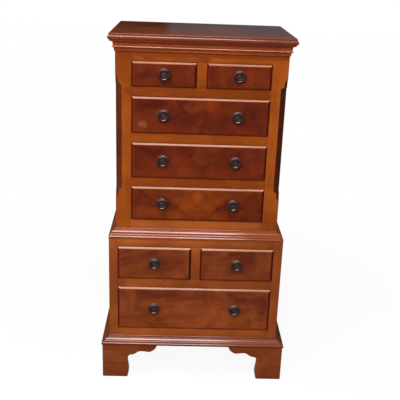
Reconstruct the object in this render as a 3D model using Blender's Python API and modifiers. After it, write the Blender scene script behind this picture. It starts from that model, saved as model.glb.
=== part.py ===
"""A tallboy: a chest on chest with eight drawers, ring pulls, canted fluted corners and bracket feet.

Run it with blender --background --python, or from Blender's text editor. Sizes are in metres, +Z is up,
the origin is on the floor under the middle of the piece, and the drawers face -Y.
"""

import math
from collections import namedtuple

import bmesh
import bpy
from mathutils import Vector

# Plan of the two cases
UPPER_WIDTH = 0.502
UPPER_DEPTH = 0.370
WAIST_STEP = 0.021
BASE_STEP = 0.0245
CORNICE_STEP = 0.020

# Heights from the floor up
FOOT_HEIGHT = 0.118
BASE_HEIGHT = 0.028
BASE_RAIL = 0.0255
BOTTOM_OPENING = 0.149
LOWER_DIVIDER = 0.028
LOWER_SMALL_OPENING = 0.111
LOWER_TOP_RAIL = 0.032
WAIST_HEIGHT = 0.0235
UPPER_BASE_RAIL = 0.0265
FOURTH_OPENING = 0.110
THIRD_DIVIDER = 0.0265
THIRD_OPENING = 0.111
SECOND_DIVIDER = 0.0275
SECOND_OPENING = 0.1115
FIRST_DIVIDER = 0.027
TOP_SMALL_OPENING = 0.075
UPPER_TOP_RAIL = 0.027
CORNICE_HEIGHT = 0.0317
TOP_THICKNESS = 0.0178

# Carcase timber
FIT = 0.0003
UPPER_STILE = 0.047
LOWER_STILE = 0.0275
STILE_DEPTH = 0.022
SIDE_THICKNESS = 0.018
MUNTIN = 0.0286
DUSTBOARD = 0.010
LOWER_TOP_BOARD = 0.018
GUIDE_HEIGHT = 0.015
RAIL_TENON = 0.008
BACK_THICKNESS = 0.006
REBATE_WALL = 0.009
CORNICE_STOCK = 0.030
SKIRT = 0.045

# Canted corners of the upper case, with their flutes and lamb's-tongue stops
CANT = 0.019
CANT_START = 0.100
CANT_END = 0.068
TONGUE_ROUND = 0.0087
TONGUE_ROUND_LENGTH = 0.016
TONGUE_HOLLOW = 0.0038
TONGUE_HOLLOW_LENGTH = 0.009
TONGUE_STEP_LENGTH = 0.005
FLUTES = 3
FLUTE_RADIUS = 0.0022
FLUTE_PITCH = 0.0066
FLUTE_MARGIN = 0.028

# The moulding of the waist and the base, from its top edge down
FILLET_OUT = 0.003
FILLET_HEIGHT = 0.002
COVE_OUT = 0.005
COVE_HEIGHT = 0.007
SHOULDER = 0.0045
QUIRK_HEIGHT = 0.0015
SLOPE_HEIGHT = 0.0033
NOSE_RADIUS = 0.0026
WAIST_LIP = 0.001

# The cornice and the edge of the top board, from the frieze up
FRIEZE_LIP = 0.0008
OVOLO_OUT = 0.0052
OVOLO_HEIGHT = 0.0087
BEAD_RADIUS = 0.0017
CORNICE_HOLLOW_OUT = 0.0042
CORNICE_HOLLOW_HEIGHT = 0.0052
CORNICE_ROUND_OUT = 0.005
CORNICE_ROUND_HEIGHT = 0.0045
CORNICE_FILLET = 0.0008
NOSE_UNDERCUT = 0.0045
NOSE_LOW = 0.0079
NOSE_SHOULDER = 0.003
TOP_STEP = 0.002
TOP_STEP_IN = 0.0036
TOP_EASE = 0.0006

# Bracket feet: the scroll is measured from the outer corner and down from the top of the foot
FOOT_INSET = 0.003
FOOT_THICKNESS = 0.020
FOOT_BLOCK = 0.038
FOOT_PAD = 0.082
TOE_ROUND = 0.005
SHANK_SWELL = 0.0035
SHANK_SWELL_UP = 0.025
SCROLL = (
    (0.0815, 0.055),
    (0.0865, 0.0385),
    (0.097, 0.036),
    (0.107, 0.0315),
    (0.118, 0.0240),
    (0.134, 0.0230),
    (0.152, 0.0250),
    (0.166, 0.0180),
    (0.1745, 0.0075),
    (0.177, 0.0),
)
REAR_BRACKET_LENGTH = 0.130
REAR_BRACKET_DROP = 0.045

# Drawers
REVEAL = 0.0012
PROUD = 0.006
EDGE_BEVEL = 0.0058
FRONT_THICKNESS = 0.021
LINING = 0.009
DRAWER_BOTTOM = 0.004
DRAWER_BOTTOM_UP = 0.008
SIDE_DROP = 0.006
DRAWER_BACK_GAP = 0.028
TAIL_LENGTH = 0.011
TAIL_ROOT = 0.013
TAIL_FLARE = 0.0016
TAIL_PITCH = 0.031

# Ring pulls
PLATE_RADIUS = 0.0185
PLATE_EDGE = 0.0012
PLATE_DISH = 0.0016
RIM_HEIGHT = 0.0029
RIM_WIDTH = 0.0042
BOSS_RADIUS = 0.0095
BOSS_HEIGHT = 0.0034
POST_RADIUS = 0.002
NUT_RADIUS = 0.0045
NUT_THICKNESS = 0.003
RING_RADIUS = 0.0136
RING_WIRE = 0.0019
RING_OUT = 0.0044
RING_PLAY = 0.0007
LUG_WALL = 0.0011
LUG_WIDTH = 0.007

# Facets of round shapes
CURVE_STEPS = 5
PLATE_STEPS = 18
RING_STEPS = 24
WIRE_SIDES = 6
FLUTE_SIDES = 8
HOLE_SIDES = 10

# Levels and planes that follow from the sizes above
LOWER_WIDTH = UPPER_WIDTH + 2 * WAIST_STEP
DEPTH = UPPER_DEPTH + WAIST_STEP + BASE_STEP
BACK = DEPTH / 2
LOWER_FRONT = BASE_STEP - BACK
UPPER_FRONT = LOWER_FRONT + WAIST_STEP
BASE_TOP = FOOT_HEIGHT + BASE_HEIGHT
BOTTOM_FLOOR = BASE_TOP + BASE_RAIL
LOWER_SMALL_FLOOR = BOTTOM_FLOOR + BOTTOM_OPENING + LOWER_DIVIDER
LOWER_CEILING = LOWER_SMALL_FLOOR + LOWER_SMALL_OPENING
LOWER_TOP = LOWER_CEILING + LOWER_TOP_RAIL
WAIST_TOP = LOWER_TOP + WAIST_HEIGHT
FOURTH_FLOOR = WAIST_TOP + UPPER_BASE_RAIL
THIRD_FLOOR = FOURTH_FLOOR + FOURTH_OPENING + THIRD_DIVIDER
SECOND_FLOOR = THIRD_FLOOR + THIRD_OPENING + SECOND_DIVIDER
TOP_SMALL_FLOOR = SECOND_FLOOR + SECOND_OPENING + FIRST_DIVIDER
UPPER_CEILING = TOP_SMALL_FLOOR + TOP_SMALL_OPENING
UPPER_TOP = UPPER_CEILING + UPPER_TOP_RAIL
FASCIA_OUT = FRIEZE_LIP + OVOLO_OUT
CORNICE_TOP = UPPER_TOP + CORNICE_HEIGHT
OVERALL_HEIGHT = CORNICE_TOP + TOP_THICKNESS
BACK_INSIDE = BACK - BACK_THICKNESS - FIT
CANT_BOTTOM = WAIST_TOP + CANT_START
CANT_TOP = UPPER_TOP - CANT_END

# How far cutters run past what they cut, and how close points have to be to become one
OVERSHOOT = 0.01
WELD = 1e-6

Case = namedtuple("Case", "width stile front")
UPPER = Case(UPPER_WIDTH, UPPER_STILE, UPPER_FRONT)
LOWER = Case(LOWER_WIDTH, LOWER_STILE, LOWER_FRONT)

Drawer = namedtuple("Drawer", "name case floor opening side")
DRAWERS = (
    Drawer("top_left", UPPER, TOP_SMALL_FLOOR, TOP_SMALL_OPENING, -1),
    Drawer("top_right", UPPER, TOP_SMALL_FLOOR, TOP_SMALL_OPENING, 1),
    Drawer("second", UPPER, SECOND_FLOOR, SECOND_OPENING, 0),
    Drawer("third", UPPER, THIRD_FLOOR, THIRD_OPENING, 0),
    Drawer("fourth", UPPER, FOURTH_FLOOR, FOURTH_OPENING, 0),
    Drawer("lower_left", LOWER, LOWER_SMALL_FLOOR, LOWER_SMALL_OPENING, -1),
    Drawer("lower_right", LOWER, LOWER_SMALL_FLOOR, LOWER_SMALL_OPENING, 1),
    Drawer("bottom", LOWER, BOTTOM_FLOOR, BOTTOM_OPENING, 0),
)

for old in list(bpy.data.objects):
    bpy.data.objects.remove(old)
PARTS = bpy.data.collections.new("tallboy")
TOOLS = bpy.data.collections.new("cutters")
for folder in (PARTS, TOOLS):
    bpy.context.scene.collection.children.link(folder)


def finish(name, colour, roughness, metallic=0.0):
    """A Principled material with one colour."""
    material = bpy.data.materials.new(name)
    material.use_nodes = True
    shader = material.node_tree.nodes["Principled BSDF"]
    shader.inputs["Base Color"].default_value = (*colour, 1.0)
    shader.inputs["Roughness"].default_value = roughness
    shader.inputs["Metallic"].default_value = metallic
    material.diffuse_color = (*colour, 1.0)
    return material


FRAME_WOOD = finish("frame_wood", (0.33, 0.09, 0.018), 0.32)
MOULDING_WOOD = finish("moulding_wood", (0.27, 0.07, 0.02), 0.28)
TOP_VENEER = finish("top_veneer", (0.14, 0.045, 0.025), 0.2)
FRONT_VENEER = finish("front_veneer", (0.19, 0.035, 0.012), 0.25)
FOOT_WOOD = finish("foot_wood", (0.21, 0.05, 0.017), 0.35)
DRAWER_LINING = finish("drawer_lining", (0.42, 0.22, 0.10), 0.6)
BACK_BOARD = finish("back_board", (0.30, 0.15, 0.07), 0.7)
BRONZE = finish("bronze", (0.05, 0.032, 0.022), 0.4, 0.9)


def place(name, mesh, wood=None, parent=None, location=(0, 0, 0), rotation=(0, 0, 0)):
    """Puts a mesh in the scene: as a part if it has a wood or metal, and as a cutter if it has none."""
    obj = bpy.data.objects.new(name, mesh)
    obj.location = location
    obj.rotation_euler = rotation
    obj.parent = parent
    if wood:
        PARTS.objects.link(obj)
        if not mesh.materials:
            mesh.materials.append(wood)
    else:
        TOOLS.objects.link(obj)
        obj.hide_render = True
        obj.display_type = "WIRE"
    return obj


def box(name, low, high, wood=None, parent=None):
    """A box between two corners."""
    form = bmesh.new()
    bmesh.ops.create_cube(form, size=1.0)
    for vert in form.verts:
        vert.co = [high[i] if vert.co[i] > 0 else low[i] for i in range(3)]
    mesh = bpy.data.meshes.new(name)
    form.to_mesh(mesh)
    form.free()
    return place(name, mesh, wood, parent)


def evaluated_mesh(obj):
    """A new mesh from an object with its modifiers applied; the object itself is removed."""
    bpy.context.view_layer.update()
    graph = bpy.context.evaluated_depsgraph_get()
    mesh = bpy.data.meshes.new_from_object(obj.evaluated_get(graph))
    bpy.data.objects.remove(obj)
    return mesh


def laid(axis, across, up, level):
    """Where a point of a flat outline goes when its thickness runs along an axis."""
    return {"X": (level, across, up), "Y": (across, level, up), "Z": (across, up, level)}[axis]


def outline_mesh(name, outlines, axis, low, high):
    """A closed mesh of flat outlines, each a list of points across and up, thick along an axis."""
    curve = bpy.data.curves.new(name, "CURVE")
    curve.dimensions = "2D"
    curve.fill_mode = "BOTH"
    curve.extrude = (high - low) / 2
    for outline in outlines:
        spline = curve.splines.new("POLY")
        spline.points.add(len(outline) - 1)
        for point, (across, up) in zip(spline.points, outline):
            point.co = (across, up, 0, 1)
        spline.use_cyclic_u = True
    drawn = bpy.data.objects.new(name, curve)
    TOOLS.objects.link(drawn)
    mesh = evaluated_mesh(drawn)
    form = bmesh.new()
    form.from_mesh(mesh)
    bmesh.ops.remove_doubles(form, verts=form.verts, dist=WELD)
    for vert in form.verts:
        vert.co = laid(axis, vert.co.x, vert.co.y, high if vert.co.z > 0 else low)
    bmesh.ops.recalc_face_normals(form, faces=form.faces)
    if form.calc_volume(signed=True) < 0:
        bmesh.ops.reverse_faces(form, faces=form.faces)
    form.to_mesh(mesh)
    form.free()
    mesh.materials.clear()
    return mesh


def slab(name, outlines, axis, low, high, wood=None, parent=None):
    """A part or cutter from flat outlines that are thick along an axis."""
    return place(name, outline_mesh(name, outlines, axis, low, high), wood, parent)


def turned(name, profile, steps):
    """A turned solid: a profile of radius and height, from its top down its outer side, about Z."""
    mesh = bpy.data.meshes.new(name)
    points = [(radius, 0, height) for radius, height in profile]
    mesh.from_pydata(points, [(i, i + 1) for i in range(len(points) - 1)], [])
    obj = place(name, mesh)
    spin = obj.modifiers.new("turning", "SCREW")
    spin.steps = steps
    spin.render_steps = steps
    spin.use_merge_vertices = True
    spin.merge_threshold = WELD
    return evaluated_mesh(obj)


def shape(target, tool, operation):
    """Cuts a tool from a part, joins it on, or keeps what both hold."""
    change = target.modifiers.new(tool.name, "BOOLEAN")
    change.operation = operation
    change.solver = "EXACT"
    change.object = tool


def arc(centre, radii, start, end):
    """Points of an elliptical arc between two angles in degrees."""
    angles = [math.radians(start + (end - start) * step / CURVE_STEPS) for step in range(CURVE_STEPS + 1)]
    return [(centre[0] + radii[0] * math.cos(a), centre[1] + radii[1] * math.sin(a)) for a in angles]


def circle(centre, radius, sides):
    """Points of a circle."""
    angles = [2 * math.pi * side / sides for side in range(sides)]
    return [(centre[0] + radius * math.cos(a), centre[1] + radius * math.sin(a)) for a in angles]


def without_repeats(points):
    """The points without any that falls on the one before it."""
    kept = [points[0]]
    for point in points[1:]:
        if math.dist(point, kept[-1]) > WELD:
            kept.append(point)
    return kept


def opening_half(case):
    """Half the width between a case's two stiles."""
    return case.width / 2 - case.stile


def moulded_slab(name, wood, case, profile):
    """A board whose front and side edges carry a moulding, mitred at the corners.

    The profile is a list of how far it stands out from the case and its height. The board is what a long
    front moulding and a long pair of side mouldings have in common.
    """
    half = case.width / 2
    reach = max(out for out, _ in profile) + OVERSHOOT
    top, bottom = profile[-1][1], profile[0][1]
    across = [(case.front - out, height) for out, height in profile] + [(BACK, top), (BACK, bottom)]
    board = slab(name, [across], "X", -half - reach, half + reach, wood)
    along = [(half + out, height) for out, height in profile]
    along += [(-half - out, height) for out, height in reversed(profile)]
    sides = slab(name + "_sides", [along], "Y", case.front - reach, BACK + OVERSHOOT)
    shape(board, sides, "INTERSECT")
    return board


def ogee_down(top, height, projection):
    """The waist and base moulding: fillet, cove, shoulder, sloping hollow and nose, from its foot up."""
    cove_top = top - FILLET_HEIGHT
    shoulder_top = cove_top - COVE_HEIGHT
    shoulder_out = FILLET_OUT + COVE_OUT
    quirk_top = shoulder_top - SHOULDER
    slope_top = quirk_top - QUIRK_HEIGHT
    slope_in = shoulder_out + SHOULDER
    nose_out = projection - NOSE_RADIUS
    nose_top = slope_top - SLOPE_HEIGHT
    points = [(FILLET_OUT, top)]
    points += arc((shoulder_out, cove_top), (COVE_OUT, COVE_HEIGHT), 180, 270)
    points += arc((shoulder_out, quirk_top), (SHOULDER, SHOULDER), 90, 0)
    points += arc((nose_out, slope_top), (nose_out - slope_in, SLOPE_HEIGHT), 180, 270)
    points += arc((nose_out, nose_top - NOSE_RADIUS), (NOSE_RADIUS, NOSE_RADIUS), 90, -90)
    points.append((nose_out, top - height))
    return without_repeats(points[::-1])


def cornice_profile():
    """The cornice: an ovolo, a bead, an upright fascia and an ogee, from the frieze up."""
    bottom, top = UPPER_TOP + FIT, CORNICE_TOP
    lip = bottom + FRIEZE_LIP
    ovolo_top = lip + OVOLO_HEIGHT
    points = [(FRIEZE_LIP, bottom)]
    points += arc((FRIEZE_LIP, ovolo_top), (OVOLO_OUT, OVOLO_HEIGHT), -90, 0)
    points += arc((FASCIA_OUT, ovolo_top + BEAD_RADIUS), (BEAD_RADIUS, BEAD_RADIUS), -90, 90)
    round_top = top - CORNICE_FILLET
    hollow_top = round_top - CORNICE_ROUND_HEIGHT
    hollow_out = FASCIA_OUT + CORNICE_HOLLOW_OUT
    hollow = (CORNICE_HOLLOW_OUT, CORNICE_HOLLOW_HEIGHT)
    points += arc((hollow_out, hollow_top - CORNICE_HOLLOW_HEIGHT), hollow, 180, 90)
    points += arc((hollow_out, round_top), (CORNICE_ROUND_OUT, CORNICE_ROUND_HEIGHT), -90, 0)
    points.append((hollow_out + CORNICE_ROUND_OUT, top))
    return without_repeats(points)


def top_profile():
    """The edge of the top board: a tall rounded nose and a low step above it, from its underside up."""
    middle = CORNICE_TOP + FIT + NOSE_LOW
    step = OVERALL_HEIGHT - TOP_STEP
    edge = CORNICE_STEP - TOP_STEP_IN
    points = arc((CORNICE_STEP - NOSE_UNDERCUT, middle), (NOSE_UNDERCUT, NOSE_LOW), -90, 0)
    points += arc((CORNICE_STEP - NOSE_SHOULDER, middle), (NOSE_SHOULDER, step - middle), 0, 75)
    points.append((edge, step))
    points += arc((edge - TOP_EASE, OVERALL_HEIGHT - TOP_EASE), (TOP_EASE, TOP_EASE), 0, 90)
    return without_repeats(points)


def side(name, case, hand, low, high):
    """A side of a case with its front stile and, at the back, the rebate for the back panel."""
    outer = case.width / 2
    inner = outer - SIDE_THICKNESS
    stile = outer - case.stile
    behind = case.front + STILE_DEPTH
    rebate = outer - REBATE_WALL
    plan = (
        (outer, case.front),
        (stile, case.front),
        (stile, behind),
        (inner, behind),
        (inner, BACK_INSIDE),
        (rebate, BACK_INSIDE),
        (rebate, BACK),
        (outer, BACK),
    )
    return slab(name, [[(hand * across, along) for across, along in plan]], "Z", low, high, FRAME_WOOD)


def tongue(tip, way):
    """Depth and height of a lamb's-tongue stop, from its tip along the corner: a round, a hollow, a step."""
    swing = [math.pi / 2 * step / CURVE_STEPS for step in range(CURVE_STEPS + 1)]
    legs = [(TONGUE_ROUND * math.sin(a), TONGUE_ROUND_LENGTH * (1 - math.cos(a))) for a in swing]
    for a in swing[1:]:
        leg = TONGUE_ROUND + TONGUE_HOLLOW * (1 - math.cos(a))
        legs.append((leg, TONGUE_ROUND_LENGTH + TONGUE_HOLLOW_LENGTH * math.sin(a)))
    legs.append((CANT, legs[-1][1] + TONGUE_STEP_LENGTH))
    return [(leg / math.sqrt(2), tip + way * along) for leg, along in legs]


def cant_corner(part, case, hand):
    """Cuts the canted face of a corner, its lamb's-tongue stops and its flutes."""
    corner = Vector((hand * case.width / 2, case.front, 0))
    heading = math.radians(90 + hand * 45)
    inward = Vector((math.cos(heading), math.sin(heading), 0))
    across = Vector((-inward.y, inward.x, 0))
    cut = [(-OVERSHOOT, CANT_BOTTOM)] + tongue(CANT_BOTTOM, 1)
    cut += tongue(CANT_TOP, -1)[::-1] + [(-OVERSHOOT, CANT_TOP)]
    mesh = outline_mesh(part.name + "_cant", [cut], "Y", -2 * CANT, 2 * CANT)
    shape(part, place(mesh.name, mesh, location=corner, rotation=(0, 0, heading)), "DIFFERENCE")
    stop = TONGUE_ROUND_LENGTH + TONGUE_HOLLOW_LENGTH + TONGUE_STEP_LENGTH + FLUTE_MARGIN
    half = (CANT_TOP - CANT_BOTTOM) / 2 - stop
    straight = half - FLUTE_RADIUS
    profile = arc((0, straight), (FLUTE_RADIUS, FLUTE_RADIUS), 90, 0)
    profile += arc((0, -straight), (FLUTE_RADIUS, FLUTE_RADIUS), 0, -90)
    flute = turned(part.name + "_flute", profile, FLUTE_SIDES)
    middle = corner + inward * CANT / math.sqrt(2) + Vector((0, 0, (CANT_TOP + CANT_BOTTOM) / 2))
    facing = (0, 0, heading + math.pi / FLUTE_SIDES)
    for number in range(FLUTES):
        offset = across * FLUTE_PITCH * (number - (FLUTES - 1) / 2)
        groove = place(f"{flute.name}_{number + 1}", flute, location=middle + offset, rotation=facing)
        shape(part, groove, "DIFFERENCE")


def runner_board(name, case, low, top, split, wood=None):
    """The board that a row of drawers runs on, with guides beside the drawers and, where split, between them."""
    inner = case.width / 2 - SIDE_THICKNESS - FIT
    guide = opening_half(case)
    rise = top + GUIDE_HEIGHT
    section = [(-inner, low), (inner, low), (inner, rise), (guide, rise), (guide, top)]
    if split:
        half = MUNTIN / 2
        section += [(half, top), (half, rise), (-half, rise), (-half, top)]
    section += [(-guide, top), (-guide, rise), (-inner, rise)]
    return slab(name, [section], "Y", case.front + STILE_DEPTH + FIT, BACK_INSIDE, wood)


def front_rail(name, case, low, high):
    """A rail between the stiles."""
    half = opening_half(case) - FIT
    return box(name, (-half, case.front, low), (half, case.front + STILE_DEPTH, high), FRAME_WOOD)


def rail_tenon(name, case, low, high):
    """The back part of a rail, which joins it to the board behind it."""
    half = opening_half(case) - FIT
    start = case.front + STILE_DEPTH / 2
    return box(name, (-half, start, low), (half, case.front + STILE_DEPTH + RAIL_TENON, high))


def divider(name, case, low, top, split=False):
    """A rail between two rows of drawers with the dustboard and guides behind it."""
    rail = front_rail(name, case, low, top)
    shape(rail, rail_tenon(name + "_tenon", case, top - DUSTBOARD, top), "UNION")
    shape(rail, runner_board(name + "_dustboard", case, top - DUSTBOARD, top, split), "UNION")
    return rail


def top_frame(name, case, ceiling, top, floor, board):
    """The rail over a case's top row of drawers, its muntin and the board behind it."""
    rail = front_rail(name, case, ceiling, top)
    half = MUNTIN / 2
    low = (-half, case.front, floor + FIT)
    shape(rail, box(name + "_muntin", low, (half, case.front + STILE_DEPTH, ceiling + board / 2)), "UNION")
    shape(rail, rail_tenon(name + "_tenon", case, top - board, top), "UNION")
    inner = case.width / 2 - SIDE_THICKNESS - FIT
    start = case.front + STILE_DEPTH + FIT
    shape(rail, box(name + "_board", (-inner, start, top - board), (inner, BACK_INSIDE, top)), "UNION")
    return rail


def hollowed(part, name, low, high):
    """Cuts a box out of a part."""
    shape(part, box(name, low, high), "DIFFERENCE")


def build_base():
    """The base: its moulding, the bottom rail and the board the bottom drawer runs on, open underneath."""
    profile = ogee_down(BASE_TOP, BASE_HEIGHT, BASE_STEP)
    base = moulded_slab("base_board", MOULDING_WOOD, LOWER, profile)
    middle = FOOT_HEIGHT + BASE_HEIGHT / 2
    shape(base, runner_board("base_runners", LOWER, middle, BOTTOM_FLOOR, False), "UNION")
    half = opening_half(LOWER) - FIT
    behind = LOWER_FRONT + STILE_DEPTH + RAIL_TENON
    shape(base, box("base_rail", (-half, LOWER_FRONT, middle), (half, behind, BOTTOM_FLOOR)), "UNION")
    inside = LOWER_WIDTH / 2 - SKIRT
    low = (-inside, LOWER_FRONT + SKIRT, FOOT_HEIGHT - OVERSHOOT)
    hollowed(base, "base_hollow", low, (inside, BACK - SKIRT, BOTTOM_FLOOR - DUSTBOARD))


def build_waist():
    """The moulding round the top of the lower case, which the upper case drops into."""
    profile = ogee_down(WAIST_TOP, WAIST_HEIGHT - FIT, WAIST_STEP + WAIST_LIP)
    waist = moulded_slab("waist_moulding", MOULDING_WOOD, UPPER, profile)
    half = UPPER_WIDTH / 2 + FIT
    low = (-half, UPPER_FRONT - FIT, LOWER_TOP - OVERSHOOT)
    hollowed(waist, "waist_socket", low, (half, BACK + OVERSHOOT, WAIST_TOP + OVERSHOOT))


def build_top():
    """The cornice frame and the top board over it."""
    cornice = moulded_slab("cornice_moulding", MOULDING_WOOD, UPPER, cornice_profile())
    half = UPPER_WIDTH / 2 - CORNICE_STOCK
    low = (-half, UPPER_FRONT + CORNICE_STOCK, UPPER_TOP - OVERSHOOT)
    hollowed(cornice, "cornice_inside", low, (half, BACK - CORNICE_STOCK, CORNICE_TOP + OVERSHOOT))
    moulded_slab("top_board", TOP_VENEER, UPPER, top_profile())


def build_back():
    """One sheet behind both cases, narrower behind the upper one."""
    lower = LOWER_WIDTH / 2 - REBATE_WALL - FIT
    upper = UPPER_WIDTH / 2 - REBATE_WALL - FIT
    foot, step, top = BASE_TOP + FIT, LOWER_TOP - FIT, UPPER_TOP - FIT
    sheet = [(-lower, foot), (lower, foot), (lower, step), (upper, step)]
    sheet += [(upper, top), (-upper, top), (-upper, step), (-lower, step)]
    slab("back_panel", [sheet], "Y", BACK - BACK_THICKNESS, BACK, BACK_BOARD)


def smooth(points, steps):
    """Points along a smooth curve through the given ones."""
    path = [Vector(point) for point in points]
    ends = [2 * path[0] - path[1]] + path + [2 * path[-1] - path[-2]]
    found = []
    for before, start, end, after in zip(ends, ends[1:], ends[2:], ends[3:]):
        for step in range(steps):
            t = step / steps
            bend = (2 * before - 5 * start + 4 * end - after) * t * t
            bend += (3 * start - before - 3 * end + after) * t * t * t
            found.append(tuple(start + ((end - before) * t + bend) / 2))
    return found + [tuple(path[-1])]


def bracket_outline():
    """The scrolled face of a bracket foot: distance from the outer corner and height."""
    top = FOOT_HEIGHT - FIT
    toe = arc((FOOT_PAD - TOE_ROUND, TOE_ROUND), (TOE_ROUND, TOE_ROUND), -90, 0)
    shank = [toe[-1], (FOOT_PAD + SHANK_SWELL, SHANK_SWELL_UP)]
    scroll = [(out, top - drop) for out, drop in SCROLL]
    return [(0.0, 0.0)] + toe[:-1] + smooth(shank + scroll, 3) + [(0.0, top)]


def foot(name, hand, front):
    """A bracket foot: a scrolled side bracket, a scrolled or plain cross bracket and the block behind them."""
    top = FOOT_HEIGHT - FIT
    outer = hand * (LOWER_WIDTH / 2 + BASE_STEP - FOOT_INSET)
    inner = outer - hand * FOOT_THICKNESS
    way = 1 if front else -1
    face = LOWER_FRONT - BASE_STEP + FOOT_INSET if front else BACK
    scrolled = bracket_outline()
    side_face = [(face + way * out, height) for out, height in scrolled]
    bracket = slab(name, [side_face], "X", min(outer, inner), max(outer, inner), FOOT_WOOD)
    if front:
        cross_face = scrolled
    else:
        rise = top - REAR_BRACKET_DROP
        cross_face = [(0, 0), (FOOT_PAD, 0), (FOOT_PAD, rise), (REAR_BRACKET_LENGTH, top), (0, top)]
    cross = [(outer - hand * out, height) for out, height in cross_face]
    ends = sorted((face, face + way * FOOT_THICKNESS))
    shape(bracket, slab(name + "_cross", [cross], "Y", *ends), "UNION")
    reach = FOOT_THICKNESS / 2
    corner = (outer - hand * reach, face + way * reach)
    block = (outer - hand * (FOOT_THICKNESS + FOOT_BLOCK), face + way * (FOOT_THICKNESS + FOOT_BLOCK))
    low = (min(corner[0], block[0]), min(corner[1], block[1]), 0)
    high = (max(corner[0], block[0]), max(corner[1], block[1]), top)
    shape(bracket, box(name + "_block", low, high), "UNION")


def build_carcase():
    """Both cases, from the feet to the top board."""
    for end, front in (("front", True), ("rear", False)):
        foot(f"{end}_left_foot", -1, front)
        foot(f"{end}_right_foot", 1, front)
    build_base()
    for word, hand in (("left", -1), ("right", 1)):
        side(f"lower_{word}_side", LOWER, hand, BASE_TOP + FIT, LOWER_TOP - FIT)
        upper_side = side(f"upper_{word}_side", UPPER, hand, LOWER_TOP + FIT, UPPER_TOP - FIT)
        cant_corner(upper_side, UPPER, hand)
    divider("lower_divider", LOWER, BOTTOM_FLOOR + BOTTOM_OPENING, LOWER_SMALL_FLOOR, split=True)
    top = LOWER_TOP - FIT
    top_frame("lower_top_board", LOWER, LOWER_CEILING, top, LOWER_SMALL_FLOOR, LOWER_TOP_BOARD)
    build_waist()
    divider("upper_bottom_board", UPPER, LOWER_TOP + FIT, FOURTH_FLOOR)
    divider("upper_divider_3", UPPER, FOURTH_FLOOR + FOURTH_OPENING, THIRD_FLOOR)
    divider("upper_divider_2", UPPER, THIRD_FLOOR + THIRD_OPENING, SECOND_FLOOR)
    divider("upper_divider_1", UPPER, SECOND_FLOOR + SECOND_OPENING, TOP_SMALL_FLOOR, split=True)
    top = UPPER_TOP - FIT
    top_frame("upper_top_rail", UPPER, UPPER_CEILING, top, TOP_SMALL_FLOOR, DUSTBOARD)
    build_top()
    build_back()


def plate_mesh():
    """The moulded plate of a ring pull with its lug, its bolt and the nut behind the drawer front.

    It is turned about Z, with the drawer's face at zero and the lug towards +Y.
    """
    rim_inner = PLATE_RADIUS - RIM_WIDTH
    rim_middle = PLATE_RADIUS - RIM_WIDTH / 2
    nut_top = -FRONT_THICKNESS - 2 * FIT
    nut_foot = nut_top - NUT_THICKNESS
    boss_shoulder = BOSS_RADIUS - (BOSS_HEIGHT - PLATE_DISH)
    profile = (
        (0, BOSS_HEIGHT),
        (boss_shoulder, BOSS_HEIGHT - 2 * FIT),
        (BOSS_RADIUS, PLATE_DISH),
        (rim_inner, PLATE_DISH),
        (rim_middle, RIM_HEIGHT),
        (PLATE_RADIUS, PLATE_EDGE),
        (PLATE_RADIUS, 0),
        (POST_RADIUS, 0),
        (POST_RADIUS, nut_top),
        (NUT_RADIUS, nut_top),
        (NUT_RADIUS, nut_foot),
        (0, nut_foot),
    )
    plate = place("plate", turned("plate", profile, PLATE_STEPS))
    hole = RING_WIRE + RING_PLAY
    knuckle = hole + LUG_WALL
    root = PLATE_EDGE / 2
    tab = [(RING_RADIUS + knuckle, root)]
    tab += arc((RING_RADIUS, RING_OUT), (knuckle, knuckle), 0, 180)
    tab += [(RING_RADIUS - knuckle, root)]
    bore = circle((RING_RADIUS, RING_OUT), hole, HOLE_SIDES)
    lug = slab("lug", [tab, bore], "X", -LUG_WIDTH / 2, LUG_WIDTH / 2)
    shape(plate, lug, "UNION")
    mesh = evaluated_mesh(plate)
    mesh.name = "pull_plate"
    bpy.data.objects.remove(lug)
    mesh.shade_smooth()
    mesh.set_sharp_from_angle(angle=math.radians(35))
    return mesh


def ring_mesh():
    """The ring of a pull, hanging from the origin, which is on its pivot."""
    bpy.ops.mesh.primitive_torus_add(
        major_radius=RING_RADIUS,
        minor_radius=RING_WIRE,
        major_segments=RING_STEPS,
        minor_segments=WIRE_SIDES,
        location=(0, 0, -RING_RADIUS),
        rotation=(math.radians(90), 0, 0),
    )
    bpy.ops.object.transform_apply()
    ring = bpy.context.object
    mesh = ring.data
    mesh.name = "pull_ring"
    bpy.data.objects.remove(ring)
    mesh.shade_smooth()
    return mesh


def tail_outlines(height, root, growth):
    """The dovetails at the front end of a drawer side, along and up, grown by a clearance."""
    count = max(2, round(height / TAIL_PITCH))
    tip = FRONT_THICKNESS - PROUD - TAIL_LENGTH - growth
    half, flared = TAIL_ROOT / 2 + growth, TAIL_ROOT / 2 + TAIL_FLARE + growth
    found = []
    for number in range(count):
        middle = FIT + height * (number + 0.5) / count
        found.append([(root, middle - half), (root, middle + half), (tip, middle + flared), (tip, middle - flared)])
    return found


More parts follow.
